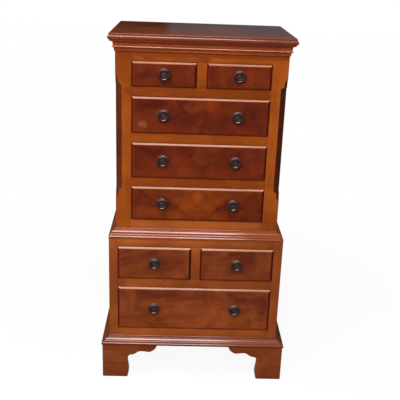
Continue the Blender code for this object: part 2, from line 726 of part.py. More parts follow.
def build_drawer_front(drawer, home, half, pulls):
    """A drawer front with bevelled edges, dovetail sockets at its ends and a hole for each pull."""
    name = drawer.name + "_drawer_front"
    inside = FRONT_THICKNESS - PROUD
    low = (-half, -PROUD, REVEAL)
    front = box(name, low, (half, inside, drawer.opening - REVEAL), FRONT_VENEER, home)
    form = bmesh.new()
    form.from_mesh(front.data)
    face = min(form.faces, key=lambda candidate: candidate.calc_center_median().y)
    bmesh.ops.bevel(form, geom=list(face.edges), offset=EDGE_BEVEL, segments=1, affect="EDGES")
    form.to_mesh(front.data)
    form.free()
    height = drawer.opening - SIDE_DROP - FIT
    sockets = tail_outlines(height, inside + OVERSHOOT, FIT)
    for word, start, end in (
        ("left", -half - OVERSHOOT, LINING + FIT - half),
        ("right", half - LINING - FIT, half + OVERSHOOT),
    ):
        shape(front, slab(f"{name}_{word}_sockets", sockets, "X", start, end, parent=home), "DIFFERENCE")
    holes = [circle((across, drawer.opening / 2), POST_RADIUS + FIT, HOLE_SIDES) for across in pulls]
    bore = slab(name + "_bores", holes, "Y", -PROUD - OVERSHOOT, inside + OVERSHOOT, parent=home)
    shape(front, bore, "DIFFERENCE")


def build_drawer_box(drawer, home, half):
    """The lining of a drawer: two sides with dovetails, a back and a bottom."""
    name = drawer.name + "_drawer_box"
    start = FRONT_THICKNESS - PROUD + FIT
    end = BACK_INSIDE - DRAWER_BACK_GAP - drawer.case.front
    inner = half - LINING
    plan = [(-half, start), (-inner, start), (-inner, end - LINING), (inner, end - LINING)]
    plan += [(inner, start), (half, start), (half, end), (-half, end)]
    top = drawer.opening - SIDE_DROP
    lining = slab(name, [plan], "Z", FIT, top, DRAWER_LINING, home)
    edge = LINING / 2
    low = (-inner - edge, start, DRAWER_BOTTOM_UP)
    high = (inner + edge, end - edge, DRAWER_BOTTOM_UP + DRAWER_BOTTOM)
    shape(lining, box(name + "_bottom", low, high, parent=home), "UNION")
    tails = tail_outlines(top - FIT, start + edge, 0)
    for word, first, last in (("left", -half, -inner), ("right", inner, half)):
        shape(lining, slab(f"{name}_{word}_tails", tails, "X", first, last, parent=home), "UNION")


def build_drawer(drawer, plate, ring):
    """A drawer with its pulls, all carried by an empty at the foot of its opening."""
    wide = opening_half(drawer.case)
    small_middle = (wide + MUNTIN / 2) / 2
    opening = wide - MUNTIN / 2 if drawer.side else 2 * wide
    home = bpy.data.objects.new(drawer.name + "_drawer", None)
    home.location = (drawer.side * small_middle, drawer.case.front, drawer.floor)
    PARTS.objects.link(home)
    half = opening / 2 - REVEAL
    if drawer.side:
        pulls = {"": 0.0}
    else:
        pulls = {"_left": -small_middle, "_right": small_middle}
    build_drawer_front(drawer, home, half, list(pulls.values()))
    build_drawer_box(drawer, home, half)
    face = -PROUD - FIT
    for word, across in pulls.items():
        name = drawer.name + word + "_pull"
        height = drawer.opening / 2
        upright = (math.radians(90), 0, 0)
        place(name + "_plate", plate, BRONZE, home, (across, face, height), upright)
        place(name + "_ring", ring, BRONZE, home, (across, face - RING_OUT, height + RING_RADIUS))


def main():
    """Builds the whole tallboy."""
    build_carcase()
    plate = plate_mesh()
    ring = ring_mesh()
    for drawer in DRAWERS:
        build_drawer(drawer, plate, ring)


main()
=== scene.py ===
"""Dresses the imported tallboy: polished mahogany, figured veneer fronts, mitred mouldings, bronze ring pulls.

Everything is in metres in the frame's own place: +Z is up, the floor is at zero and the drawers face -Y.
"""

from __future__ import annotations

import logging
import math
from collections.abc import Callable, Iterable, Sequence
from dataclasses import dataclass, field, replace
from enum import Enum

import bmesh
import bpy
from mathutils import Matrix, Vector


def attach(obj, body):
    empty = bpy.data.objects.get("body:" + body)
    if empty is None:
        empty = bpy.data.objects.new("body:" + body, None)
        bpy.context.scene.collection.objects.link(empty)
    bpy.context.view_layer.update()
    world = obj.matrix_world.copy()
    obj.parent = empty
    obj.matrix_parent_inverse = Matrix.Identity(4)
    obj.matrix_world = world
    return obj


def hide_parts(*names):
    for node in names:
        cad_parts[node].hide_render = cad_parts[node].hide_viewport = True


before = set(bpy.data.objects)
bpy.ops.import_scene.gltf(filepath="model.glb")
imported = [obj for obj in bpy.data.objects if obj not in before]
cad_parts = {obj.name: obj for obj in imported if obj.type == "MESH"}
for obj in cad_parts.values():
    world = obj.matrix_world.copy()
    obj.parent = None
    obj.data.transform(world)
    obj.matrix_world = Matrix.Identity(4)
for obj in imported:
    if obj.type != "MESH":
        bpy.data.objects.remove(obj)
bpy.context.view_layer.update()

LOG = logging.getLogger("tallboy")
Point2 = tuple[float, float]
Colour = tuple[float, float, float]
FIT = 0.0003
JOINT = 0.0001
EASE = 0.0003
HIDDEN_EASE = 0.0005
SEAM = 1e-4


def srgb(red: int, green: int, blue: int) -> Colour:
    """A linear colour from display values.

    Args:
        red: Red from 0 to 255.
        green: Green from 0 to 255.
        blue: Blue from 0 to 255.

    Returns:
        The colour in linear light.
    """

    def channel(value: float) -> float:
        """One channel in linear light."""
        share = value / 255
        return share / 12.92 if share <= 0.04045 else ((share + 0.055) / 1.055) ** 2.4

    return channel(red), channel(green), channel(blue)


# ---- Shader expressions ----


class Wire:
    """A socket's value in an expression; every operator adds the Math node that works it out."""

    def __init__(self, bench: Bench, socket: bpy.types.NodeSocket) -> None:
        """Wraps a socket.

        Args:
            bench: The node tree the socket belongs to.
            socket: The output socket.
        """
        self.bench = bench
        self.socket = socket

    def _math(self, operation: str, *values: Wire | float) -> Wire:
        """Adds a Math node.

        Args:
            operation: The Math node's operation.
            values: Its inputs in order.

        Returns:
            The node's result.
        """
        return self.bench.add("ShaderNodeMath", {"operation": operation}, dict(enumerate(values)))

    def __add__(self, other: Wire | float) -> Wire:
        """The sum."""
        return self._math("ADD", self, other)

    def __radd__(self, other: float) -> Wire:
        """The sum with a number first."""
        return self._math("ADD", other, self)

    def __sub__(self, other: Wire | float) -> Wire:
        """The difference."""
        return self._math("SUBTRACT", self, other)

    def __rsub__(self, other: float) -> Wire:
        """The difference from a number."""
        return self._math("SUBTRACT", other, self)

    def __mul__(self, other: Wire | float) -> Wire:
        """The product."""
        return self._math("MULTIPLY", self, other)

    def __rmul__(self, other: float) -> Wire:
        """The product with a number first."""
        return self._math("MULTIPLY", other, self)

    def __truediv__(self, other: Wire | float) -> Wire:
        """The quotient."""
        return self._math("DIVIDE", self, other)

    def __pow__(self, other: float) -> Wire:
        """The power."""
        return self._math("POWER", self, other)

    def __abs__(self) -> Wire:
        """The value without its sign."""
        return self._math("ABSOLUTE", self)

    def ramp(self, low: float, high: float, smooth: bool = True) -> Wire:
        """A change from 0 to 1 between two values.

        Args:
            low: Where it is 0.
            high: Where it is 1.
            smooth: Whether it starts and ends softly.

        Returns:
            The changed value.
        """
        settings = {"interpolation_type": "SMOOTHSTEP" if smooth else "LINEAR"}
        return self.bench.add("ShaderNodeMapRange", settings, {0: self, 1: low, 2: high, 3: 0.0, 4: 1.0})


class Bench:
    """A material's node tree while it is being made."""

    def __init__(self, tree: bpy.types.NodeTree) -> None:
        """Starts on an empty tree.

        Args:
            tree: The node tree.
        """
        self.tree = tree
        tree.nodes.clear()

    def add(
        self,
        kind: str,
        settings: dict[str, object] | None = None,
        values: dict[str | int, object] | None = None,
        out: str | int = 0,
    ) -> Wire:
        """Adds a node.

        Args:
            kind: The node's type.
            settings: Its settings, set first.
            values: Numbers, colours, vectors or wires for its input sockets by name or index.
            out: The output socket that is wanted.

        Returns:
            The wanted output.
        """
        node = self.tree.nodes.new(kind)
        for name, value in (settings or {}).items():
            setattr(node, name, value)
        for name, value in (values or {}).items():
            self.feed(node.inputs[name], value)
        return Wire(self, node.outputs[out])

    def feed(self, socket: bpy.types.NodeSocket, value: object) -> None:
        """Gives an input socket a link or a value.

        Args:
            socket: The input socket.
            value: A wire, number, colour or vector.
        """
        if isinstance(value, Wire):
            self.tree.links.new(value.socket, socket)
        elif socket.type == "RGBA":
            socket.default_value = (*value, 1.0)
        else:
            socket.default_value = value

    def vector(self, operation: str, first: object, second: object) -> Wire:
        """A Vector Math node.

        Args:
            operation: Its operation.
            first: The first vector.
            second: The second vector.

        Returns:
            The resulting vector.
        """
        return self.add("ShaderNodeVectorMath", {"operation": operation}, {0: first, 1: second})

    def blend(self, share: Wire | float, first: object, second: object, mode: str = "MIX") -> Wire:
        """Mixes two colours.

        Args:
            share: How much of the second colour shows.
            first: The first colour.
            second: The second colour.
            mode: The mix node's blend type.

        Returns:
            The mixed colour.
        """
        settings = {"data_type": "RGBA", "blend_type": mode}
        return self.add("ShaderNodeMix", settings, {0: share, 6: first, 7: second}, 2)

    def noise(self, place: Wire, scale: float, detail: float = 2.0, bend: float = 0.0, rough: float = 0.5) -> Wire:
        """Cloudy noise from 0 to 1.

        Args:
            place: Where it is read.
            scale: Its scale.
            detail: How many finer layers it has.
            bend: How much it is distorted.
            rough: How strong the finer layers are.

        Returns:
            The noise.
        """
        values = {"Vector": place, "Scale": scale, "Detail": detail, "Distortion": bend, "Roughness": rough}
        return self.add("ShaderNodeTexNoise", None, values)

    def coordinates(self) -> tuple[Wire, Wire, Wire, Wire]:
        """The place on the piece, in metres, as a vector and as its three parts."""
        place = self.add("ShaderNodeTexCoord", None, None, "Object")
        parts = [self.add("ShaderNodeSeparateXYZ", None, {0: place}, i) for i in range(3)]
        return place, parts[0], parts[1], parts[2]

    def close(self, surface: Wire) -> None:
        """Links the surface to the output."""
        self.tree.links.new(surface.socket, self.tree.nodes.new("ShaderNodeOutputMaterial").inputs[0])


class Grain(Enum):
    """The way a board's grain runs: how coordinates are stretched across and along it."""

    ACROSS = (0.06, 1.0, 1.0)
    DEEP = (1.0, 0.06, 1.0)
    UPRIGHT = (1.0, 1.0, 0.06)


@dataclass(frozen=True)
class Polish:
    """How a polished surface shines: duller on its upright faces, waxed on those that face up, and lightened there by a
    painted highlight.
    """

    roughness: float = 0.36
    specular: float = 0.03
    wax: float = 0.5
    wax_roughness: float = 0.16
    relief: float = 0.12
    # The painted highlight: how much faces that point up, within the rise range, are lightened, and the colour they are
    # lightened toward.
    highlight_share: float = 0.0
    highlight_and_wear_colour: Colour = (0.62, 0.24, 0.11)
    depth: float = 1.5
    rise: Point2 = (0.12, 0.62)

    def surface(self, bench: Bench, place: Wire, colour: Wire, pore: Wire, height: Wire) -> Wire:
        """The finished surface.

        Args:
            bench: The node tree.
            place: The place on the piece.
            colour: The wood's colour.
            pore: Where pores are, from 0 to 1.
            height: The relief of the surface.

        Returns:
            The shader.
        """
        facing = bench.add("ShaderNodeNewGeometry", None, None, "Normal")
        tilt = bench.add("ShaderNodeSeparateXYZ", None, {0: facing}, 2)
        upward = tilt.ramp(*self.rise)
        smear = bench.noise(place, 34.0, 3.0, 0.4)
        patchy_wax_and_highlight = bench.noise(place, 9.0, 3.0) * 0.9 + 0.55
        relief = {"Strength": self.relief, "Distance": 0.0002, "Height": height}
        values = {
            # Painted highlight: faces that point up are lightened unevenly toward the highlight colour.
            "Base Color": bench.blend(upward * patchy_wax_and_highlight * self.highlight_share, colour, self.highlight_and_wear_colour),
            "Roughness": smear * 0.12 + (self.roughness - 0.06) + pore * 0.12,
            "Specular IOR Level": self.specular,
            "Coat Weight": upward * patchy_wax_and_highlight * self.wax,
            "Coat Roughness": self.wax_roughness,
            "Coat IOR": self.depth,
            "Normal": bench.add("ShaderNodeBump", None, relief),
        }
        return bench.add("ShaderNodeBsdfPrincipled", None, values)


@dataclass(frozen=True)
class Patch:
    """A soft lighter or darker patch, seen from the front; patches give the veneers their figure, paint tone and shade
    on the frame and paint shadow round the pulls.
    """

    across: float
    up: float
    wide: float
    high: float
    strength: float
    lean: float = 0.0

    def tone(self, across: Wire, up: Wire) -> Wire:
        """How much the patch adds to the tone.

        Args:
            across: The place from left to right.
            up: The place from the lower edge up.

        Returns:
            The change of tone.
        """
        x, y = across - self.across, up - self.up
        far = ((x - y * self.lean) / self.wide) ** 2.0 + (y / self.high) ** 2.0
        return (1 - far.ramp(0.0, 1.6)) * self.strength


@dataclass(frozen=True)
class Timber:
    """Solid wood with a wandering straight grain, pores, soft clouds, a few darker smudges and the patches it is given,
    some of which are painted shade.
    """

    name: str
    light: Colour
    dark: Colour
    grain: Grain
    polish: Polish = Polish()
    clouds: float = 0.6
    streaks: float = 0.5
    pores: float = 0.5
    patches: tuple[Patch, ...] = ()

    def material(self) -> bpy.types.Material:
        """Makes the material."""
        material = bpy.data.materials.new(self.name)
        material.use_nodes = True
        bench = Bench(material.node_tree)
        place, x, _, z = bench.coordinates()
        sway = bench.noise(place, 3.0, 1.0)
        bent = bench.add("ShaderNodeCombineXYZ", None, {0: sway * 0.02, 1: sway * 0.02, 2: sway * 0.02})
        along = bench.vector("MULTIPLY", bench.vector("ADD", place, bent), self.grain.value)
        ribbon = bench.noise(along, 48.0, 3.0, 0.5)
        streak = bench.noise(along, 300.0, 3.0, 0.2, 0.6)
        cloud = bench.noise(place, 8.0, 3.0, 0.8)
        fleck = bench.noise(along, 1400.0, 1.0)
        tone = ribbon * self.streaks + streak * self.streaks + cloud * self.clouds
        for patch in self.patches:
            tone = tone + patch.tone(x, z)
        middle = self.streaks + self.clouds / 2
        tone = tone.ramp(middle - 0.22, middle + 0.22)
        pore = fleck.ramp(0.58, 0.72) * self.pores
        smudge = bench.noise(place, 17.0, 1.0).ramp(0.66, 0.86) * self.clouds
        colour = bench.blend(tone, self.dark, self.light)
        colour = bench.blend(smudge * 0.6, colour, tuple(c * 0.6 for c in self.dark))
        colour = bench.blend(pore * 0.5, colour, tuple(c * 0.25 for c in self.dark))
        bench.close(self.polish.surface(bench, place, colour, pore, streak * 0.4 + (1 - pore) * 0.6))
        return material


@dataclass(frozen=True)
class Figure:
    """The figure of one drawer front: its seed, its patches by shares of its size, and its slanting feathers."""

    seed: float
    patches: tuple[Patch, ...]
    feather: float = 0.25
    slant: float = 0.6
    fold: bool = False
    # Where a small patch of pale scratches with a painted glint sits, if any.
    scratch_glint: Point2 | None = None


@dataclass(frozen=True)
class Veneer:
    """A drawer front's figured veneer."""

    name: str
    middle: Point2
    reach: Point2
    figure: Figure
    light: Colour
    dark: Colour
    polish: Polish = Polish(0.32, 0.03, 0.5, 0.14, 0.08)
    # The colour of the pale scratches and their painted glint.
    scratch_glint_colour: Colour = srgb(208, 136, 84)

    def material(self) -> bpy.types.Material:
        """Makes the material."""
        material = bpy.data.materials.new(self.name)
        material.use_nodes = True
        bench = Bench(material.node_tree)
        place, x, _, z = bench.coordinates()
        figure = self.figure
        out, up = x - self.middle[0], z - self.middle[1]
        side = abs(out) if figure.fold else out
        sheet = bench.add("ShaderNodeCombineXYZ", None, {0: side, 1: figure.seed, 2: up})
        warp = bench.noise(sheet, 9.0, 2.0) - 0.5
        bent = bench.add("ShaderNodeCombineXYZ", None, {0: warp * 0.05, 2: warp * 0.03})
        sheet = bench.vector("ADD", sheet, bent)
        cloud = bench.noise(sheet, 15.0, 2.5, 0.9, 0.5)
        slanted = bench.add("ShaderNodeCombineXYZ", None, {0: (up - side * figure.slant + warp * 0.03), 1: side * 0.16})
        feather = bench.noise(slanted, 60.0, 2.0, 0.3)
        mottle = bench.noise(sheet, 95.0, 3.0, 1.1)
        speck = bench.noise(place, 700.0, 2.0)
        tone = (cloud - 0.5) * 1.7 + (feather - 0.5) * figure.feather * 2 + (mottle - 0.5) * 0.3 + 0.45
        # The figure's patches; on fronts with pulls these include painted shadows by the pulls.
        for patch in figure.patches:
            tone = tone + patch.tone(out / self.reach[0], up / self.reach[1])
        colour = bench.blend(tone.ramp(0.0, 1.0, False), self.dark, self.light)
        # Pale diagonal scratch marks in one small patch, lightened as a painted glint.
        if figure.scratch_glint:
            area = Patch(*figure.scratch_glint, 0.07, 0.22, 0.8).tone(out / self.reach[0], up / self.reach[1])
            lean = bench.add("ShaderNodeCombineXYZ", None, {0: out * 0.4 + up, 1: out - up})
            marks = bench.noise(lean, 420.0, 2.0).ramp(0.52, 0.62)
            colour = bench.blend(area * marks, colour, self.scratch_glint_colour)
        pore = speck.ramp(0.56, 0.72)
        colour = bench.blend(pore * 0.3, colour, tuple(c * 0.35 for c in self.dark))
        bench.close(self.polish.surface(bench, place, colour, pore, speck))
        return material


@dataclass(frozen=True)
class Bronze:
    """Dark antique bronze, worn a little brighter in random spots, with a painted highlight on faces that point up."""

    name: str = "antique_bronze"
    base: Colour = (0.046, 0.021, 0.018)
    # The colour of the wear spots and of the painted highlight.
    highlight_and_wear_colour: Colour = (0.20, 0.135, 0.12)
    roughness: float = 0.42
    metallic: float = 0.35

    def material(self) -> bpy.types.Material:
        """Makes the material."""
        material = bpy.data.materials.new(self.name)
        material.use_nodes = True
        bench = Bench(material.node_tree)
        place = bench.coordinates()[0]
        facing = bench.add("ShaderNodeNewGeometry", None, None, "Normal")
        upward = bench.add("ShaderNodeSeparateXYZ", None, {0: facing}, 2).ramp(0.3, 0.9)
        # Random wear spots, plus a painted highlight on faces that point up.
        wear_and_highlight = bench.noise(place, 260.0, 4.0, 0.5).ramp(0.45, 0.75) * 0.12 + upward * 0.85
        pit = bench.noise(place, 1500.0, 2.0)
        bump = bench.add("ShaderNodeBump", None, {"Strength": 0.12, "Distance": 0.0001, "Height": pit})
        surface = bench.add(
            "ShaderNodeBsdfPrincipled",
            None,
            {
                "Base Color": bench.blend(wear_and_highlight, self.base, self.highlight_and_wear_colour),
                "Metallic": self.metallic,
                "Specular IOR Level": 0.15,
                "Roughness": wear_and_highlight * -0.06 + (self.roughness + pit * 0.08),
                "Normal": bump,
            },
        )
        bench.close(surface)
        return material


SATIN = Polish()
# Every polish below with a highlight share above zero paints a highlight: faces that point up are lightened toward its
# highlight colour.
GLOSS = Polish(0.30, 0.04, 0.78, 0.12, 0.08, 0.12, srgb(222, 142, 100), 1.75)
HOLLOW_GLOSS = Polish(0.34, 0.04, 0.14, 0.2, 0.08, 0.14, srgb(206, 116, 72), 1.6)
RIM_GLOSS = Polish(0.30, 0.04, 0.7, 0.15, 0.08, 0.10, srgb(220, 140, 100), 1.7)
# The bead's polish paints a strong highlight.
PAINTED_HIGHLIGHT_GLOSS = Polish(0.30, 0.04, 1.0, 0.2, 0.08, 0.8, srgb(236, 166, 126), 1.7)
# The drawer bevels' polish paints a highlight on the upper bevels.
BEVEL = Polish(0.32, 0.03, 0.5, 0.2, 0.08, 0.42, srgb(224, 172, 138), 1.5, (0.50, 0.80))
TABLE = Polish(0.30, 0.05, 1.0, 0.05, 0.02)
DULL = Polish(0.45, 0.04, 0.0, 0.3, 0.15)
BARE = Polish(0.62, 0.2, 0.0, 0.3, 0.3)
FRAME = (srgb(165, 82, 25), srgb(124, 56, 17))
BROWNER = (srgb(166, 86, 38), srgb(126, 61, 27))
# Darker and lighter bands on the frame's rails, muntins and stiles; the two noted below are painted shade, the others
# make single parts darker or lighter.
FRAME_TONES_AND_PAINTED_SHADE = (
    # Painted shade under the cornice.
    Patch(0.0, 1.052, 0.60, 0.009, -0.30),
    Patch(-0.152, 1.046, 0.022, 0.013, -0.26),
    Patch(0.008, 1.044, 0.020, 0.013, -0.22),
    Patch(0.0, 0.942, 0.22, 0.018, -0.24),
    Patch(0.0, 0.803, 0.22, 0.018, -0.02),
    Patch(-0.185, 0.942, 0.032, 0.016, -0.20),
    Patch(0.17, 0.940, 0.030, 0.014, -0.12),
    Patch(0.0, 0.990, 0.03, 0.050, -0.10),
    Patch(0.0, 0.665, 0.22, 0.020, -0.16),
    Patch(-0.235, 1.025, 0.040, 0.060, -0.16),
    Patch(0.235, 0.53, 0.040, 0.060, -0.12),
    Patch(0.0, 0.528, 0.22, 0.020, 0.08),
    # Painted shadow under the waist moulding's nose.
    Patch(0.0, 0.4885, 0.60, 0.006, -0.50),
    Patch(0.0, 0.405, 0.03, 0.050, -0.08),
    Patch(0.0, 0.335, 0.26, 0.020, -0.06),
    Patch(-0.262, 0.33, 0.040, 0.200, -0.14),
    Patch(0.262, 0.33, 0.040, 0.200, -0.14),
)
SHADOWED = (Patch(0.245, 0.80, 0.030, 0.40, -0.34),)
PINE = (srgb(186, 142, 96), srgb(158, 114, 72))


MADE: dict[str, bpy.types.Material] = {}


class Finish(Enum):
    """Every finish of the piece, with the record's slot it belongs to."""

    STILE = ("frame_wood", Timber("frame_upright", *FRAME, Grain.UPRIGHT, SATIN, 0.5, 0.22, 0.3, FRAME_TONES_AND_PAINTED_SHADE))
    RAIL = ("frame_wood", Timber("frame_level", *FRAME, Grain.ACROSS, SATIN, 0.5, 0.22, 0.3, FRAME_TONES_AND_PAINTED_SHADE))
    LOWER_STILE = ("frame_wood", Timber("lower_upright", *BROWNER, Grain.UPRIGHT, SATIN, 0.5, 0.22, 0.3, FRAME_TONES_AND_PAINTED_SHADE))
    LOWER_RAIL = ("frame_wood", Timber("lower_level", *BROWNER, Grain.ACROSS, SATIN, 0.5, 0.22, 0.3, FRAME_TONES_AND_PAINTED_SHADE))
    PANEL = ("frame_wood", Timber("side_panel", srgb(140, 68, 28), srgb(110, 48, 19), Grain.UPRIGHT, DULL))
    CANT = (
        "frame_wood",
        Timber("fluted_cant", srgb(104, 46, 23), srgb(76, 30, 15), Grain.UPRIGHT, DULL, patches=SHADOWED),
    )
    MOULDING = ("moulding_wood", Timber("moulding_level", srgb(140, 62, 29), srgb(115, 46, 22), Grain.ACROSS, GLOSS))
    BEAD = ("moulding_wood", Timber("moulding_bead", srgb(150, 74, 46), srgb(124, 54, 32), Grain.ACROSS, PAINTED_HIGHLIGHT_GLOSS))
    HOLLOW = (
        "moulding_wood",
        Timber("moulding_hollow", srgb(138, 66, 33), srgb(111, 48, 24), Grain.ACROSS, HOLLOW_GLOSS),
    )
    RIM = ("moulding_wood", Timber("top_edge", srgb(119, 58, 40), srgb(99, 44, 30), Grain.ACROSS, RIM_GLOSS))
    BASE = ("moulding_wood", Timber("base_level", srgb(113, 52, 31), srgb(92, 38, 24), Grain.ACROSS, GLOSS))
    BASE_HOLLOW = (
        "moulding_wood",
        Timber("base_hollow", srgb(111, 54, 35), srgb(89, 40, 26), Grain.ACROSS, HOLLOW_GLOSS),
    )
    FRIEZE = ("moulding_wood", Timber("cornice_foot", srgb(156, 74, 34), srgb(120, 52, 23), Grain.ACROSS, SATIN))
    RETURN = ("moulding_wood", Timber("moulding_return", srgb(116, 62, 28), srgb(90, 45, 19), Grain.DEEP, DULL))
    TOP = (
        "top_veneer",
        Timber("polished_top", srgb(124, 66, 36), srgb(104, 53, 28), Grain.ACROSS, TABLE, 0.8, 0.2, 0.1),
    )
    FOOT = ("foot_wood", Timber("foot_level", srgb(130, 64, 32), srgb(106, 48, 23), Grain.ACROSS))
    # The level edge finish paints a highlight on the upper bevels; the upright edge finish below is a darker copy,
    # painted shade on the side bevels.
    EDGE = ("front_veneer", Timber("drawer_edge_level", srgb(126, 50, 20), srgb(106, 37, 14), Grain.ACROSS, BEVEL))
    EDGE_SIDE_SHADE = ("front_veneer", Timber("drawer_side_edge_shaded", srgb(92, 26, 13), srgb(72, 17, 9), Grain.UPRIGHT, DULL))
    CORE = ("front_veneer", Timber("front_core", srgb(158, 96, 56), srgb(130, 74, 42), Grain.ACROSS, BARE))
    LINING = ("drawer_lining", Timber("pine_lining", *PINE, Grain.DEEP, BARE))
    CARCASE = ("frame_wood", Timber("carcase_inside", srgb(164, 116, 74), srgb(134, 90, 54), Grain.DEEP, BARE))
    BACK = ("back_board", Timber("pine_back", srgb(150, 110, 74), srgb(122, 84, 54), Grain.UPRIGHT, BARE))
    BRONZE = ("bronze", Bronze())
    # The ring's bronze paints a strong highlight on its upward faces.
    RING = ("bronze", Bronze("bronze_with_painted_highlight", (0.040, 0.020, 0.017), (0.52, 0.39, 0.37), 0.32, 0.85))

    @property
    def slot(self) -> str:
        """The record's material slot."""
        return self.value[0]

    def material(self) -> bpy.types.Material:
        """The material, made when it is first asked for."""
        if self.name not in MADE:
            MADE[self.name] = self.value[1].material()
        return MADE[self.name]


# ---- Shapes ----


def arc(centre: Point2, radii: Point2, start: float, end: float, steps: int = 8) -> list[Point2]:
    """Points of an elliptical arc.

    Args:
        centre: Its centre.
        radii: Its two radii.
        start: First angle in degrees.
        end: Last angle in degrees.
        steps: How many chords it has.

    Returns:
        The points.
    """
    turns = [math.radians(start + (end - start) * i / steps) for i in range(steps + 1)]
    return [(centre[0] + radii[0] * math.cos(a), centre[1] + radii[1] * math.sin(a)) for a in turns]


def shallow(start: Point2, size: float, steps: int = 6) -> list[Point2]:
    """A shallow round that leans out and down at about forty-five degrees.

    Args:
        start: Its upper, inner end.
        size: How far it goes out and down.
        steps: How many chords it has.

    Returns:
        The points.
    """
    shares = [step / steps for step in range(steps + 1)]
    return [(start[0] + size * s, start[1] - size * s * (0.65 + 0.35 * s)) for s in shares]


def tidy_points(points: Iterable[Point2], gap: float = 2e-5) -> list[Point2]:
    """Drops every point that lies on the one before it.

    Args:
        points: The outline.
        gap: The least distance that is kept.

    Returns:
        The outline without repeats.
    """
    kept: list[Point2] = []
    for point in points:
        if not kept or math.dist(point, kept[-1]) > gap:
            kept.append(point)
    return kept


class Solid:
    """One or more closed bodies in a mesh under construction."""

    def __init__(self) -> None:
        """Starts empty."""
        self.form = bmesh.new()

    def rings(self, loops: Sequence[Sequence[Sequence[float]]], slot: int = 0, closed: bool = False) -> list:
        """Skins loops of equal length one after another and closes the two ends.

        Args:
            loops: The loops of points.
            slot: The material index of the new faces.
            closed: Whether the last loop joins the first one, so that there are no ends.

        Returns:
            The faces between the loops, one list for each step.
        """
        made = [[self.form.verts.new(point) for point in loop] for loop in loops]
        steps = []
        pairs = list(zip(made, made[1:])) + ([(made[-1], made[0])] if closed else [])
        for first, second in pairs:
            faces = []
            for i in range(len(first)):
                j = (i + 1) % len(first)
                faces.append(self.form.faces.new((first[i], first[j], second[j], second[i])))
            steps.append(faces)
        if not closed:
            steps.append([self.form.faces.new(made[0][::-1]), self.form.faces.new(made[-1])])
        for face in (face for faces in steps for face in faces):
            face.material_index = slot
        return steps

    def prism(self, outline: Sequence[Point2], axis: str, low: float, high: float, slot: int = 0) -> list:
        """A flat outline with a thickness.

        Args:
            outline: Points across and up.
            axis: The axis along the thickness.
            low: Where the thickness starts.
            high: Where it ends.
            slot: The material index.

        Returns:
            The faces, as rings gives them.
        """
        order: dict[str, Callable] = {
            "X": lambda a, b, c: (c, a, b),
            "Y": lambda a, b, c: (a, c, b),
            "Z": lambda a, b, c: (a, b, c),
        }
        loops = [[order[axis](a, b, level) for a, b in outline] for level in (low, high)]
        return self.rings(loops, slot)

    def plank(self, low: Sequence[float], high: Sequence[float], ease: float = 0.0006, slot: int = 0) -> None:
        """A board with eased arrises.

        Args:
            low: Its lowest corner.
            high: Its highest corner.
            ease: The width of the easing.
            slot: The material index.
        """
        outline = [(low[0], low[1]), (high[0], low[1]), (high[0], high[1]), (low[0], high[1])]
        faces = self.prism(outline, "Z", low[2], high[2], slot)
        if ease:
            edges = list({edge for step in faces for face in step for edge in face.edges})
            bmesh.ops.bevel(self.form, geom=edges, offset=ease, segments=2, profile=0.5, affect="EDGES")

    def soften(self, width: float, angle: float = 30.0, segments: int = 2) -> None:
        """Rounds every edge that is sharper than an angle.

        Args:
            width: How wide the rounding is.
            angle: The least angle between faces, in degrees.
            segments: How many facets it has.
        """
        bmesh.ops.recalc_face_normals(self.form, faces=self.form.faces)
        limit = math.radians(angle)
        edges = [e for e in self.form.edges if e.is_manifold and e.calc_face_angle(0.0) > limit]
        bmesh.ops.bevel(
            self.form, geom=edges, offset=width, segments=segments, profile=0.5, affect="EDGES", clamp_overlap=True
        )

    def mesh(self, name: str) -> bpy.types.Mesh:
        """Turns the form into a mesh with outward faces, and frees it.

        Args:
            name: The mesh's name.

        Returns:
            The mesh.
        """
        bmesh.ops.recalc_face_normals(self.form, faces=self.form.faces)
        if self.form.calc_volume(signed=True) < 0:
            bmesh.ops.reverse_faces(self.form, faces=self.form.faces)
        made = bpy.data.meshes.new(name)
        self.form.to_mesh(made)
        self.form.free()
        return made

    def carve(self, tool: Solid, materials: int = 1, slot: int = 0) -> None:
        """Cuts another solid out of this one.

        Args:
            tool: What is cut away.
            materials: How many material slots both have.
            slot: The material index that the cut faces get.
        """
        for face in tool.form.faces:
            face.material_index = slot
        blank = [bpy.data.materials.get(f"blank_{i}") or bpy.data.materials.new(f"blank_{i}") for i in range(materials)]
        pair = []
        for word, solid in (("body", self), ("tool", tool)):
            mesh = solid.mesh(word)
            for material in blank:
                mesh.materials.append(material)
            pair.append(bpy.data.objects.new(word, mesh))
            bpy.context.scene.collection.objects.link(pair[-1])
        change = pair[0].modifiers.new("carve", "BOOLEAN")
        change.operation = "DIFFERENCE"
        change.solver = "EXACT"
        change.object = pair[1]
        bpy.context.view_layer.update()
        graph = bpy.context.evaluated_depsgraph_get()
        carved = bpy.data.meshes.new_from_object(pair[0].evaluated_get(graph))
        for obj in pair:
            bpy.data.objects.remove(obj)
        self.form = bmesh.new()
        self.form.from_mesh(carved)
        bmesh.ops.remove_doubles(self.form, verts=self.form.verts, dist=1e-6)


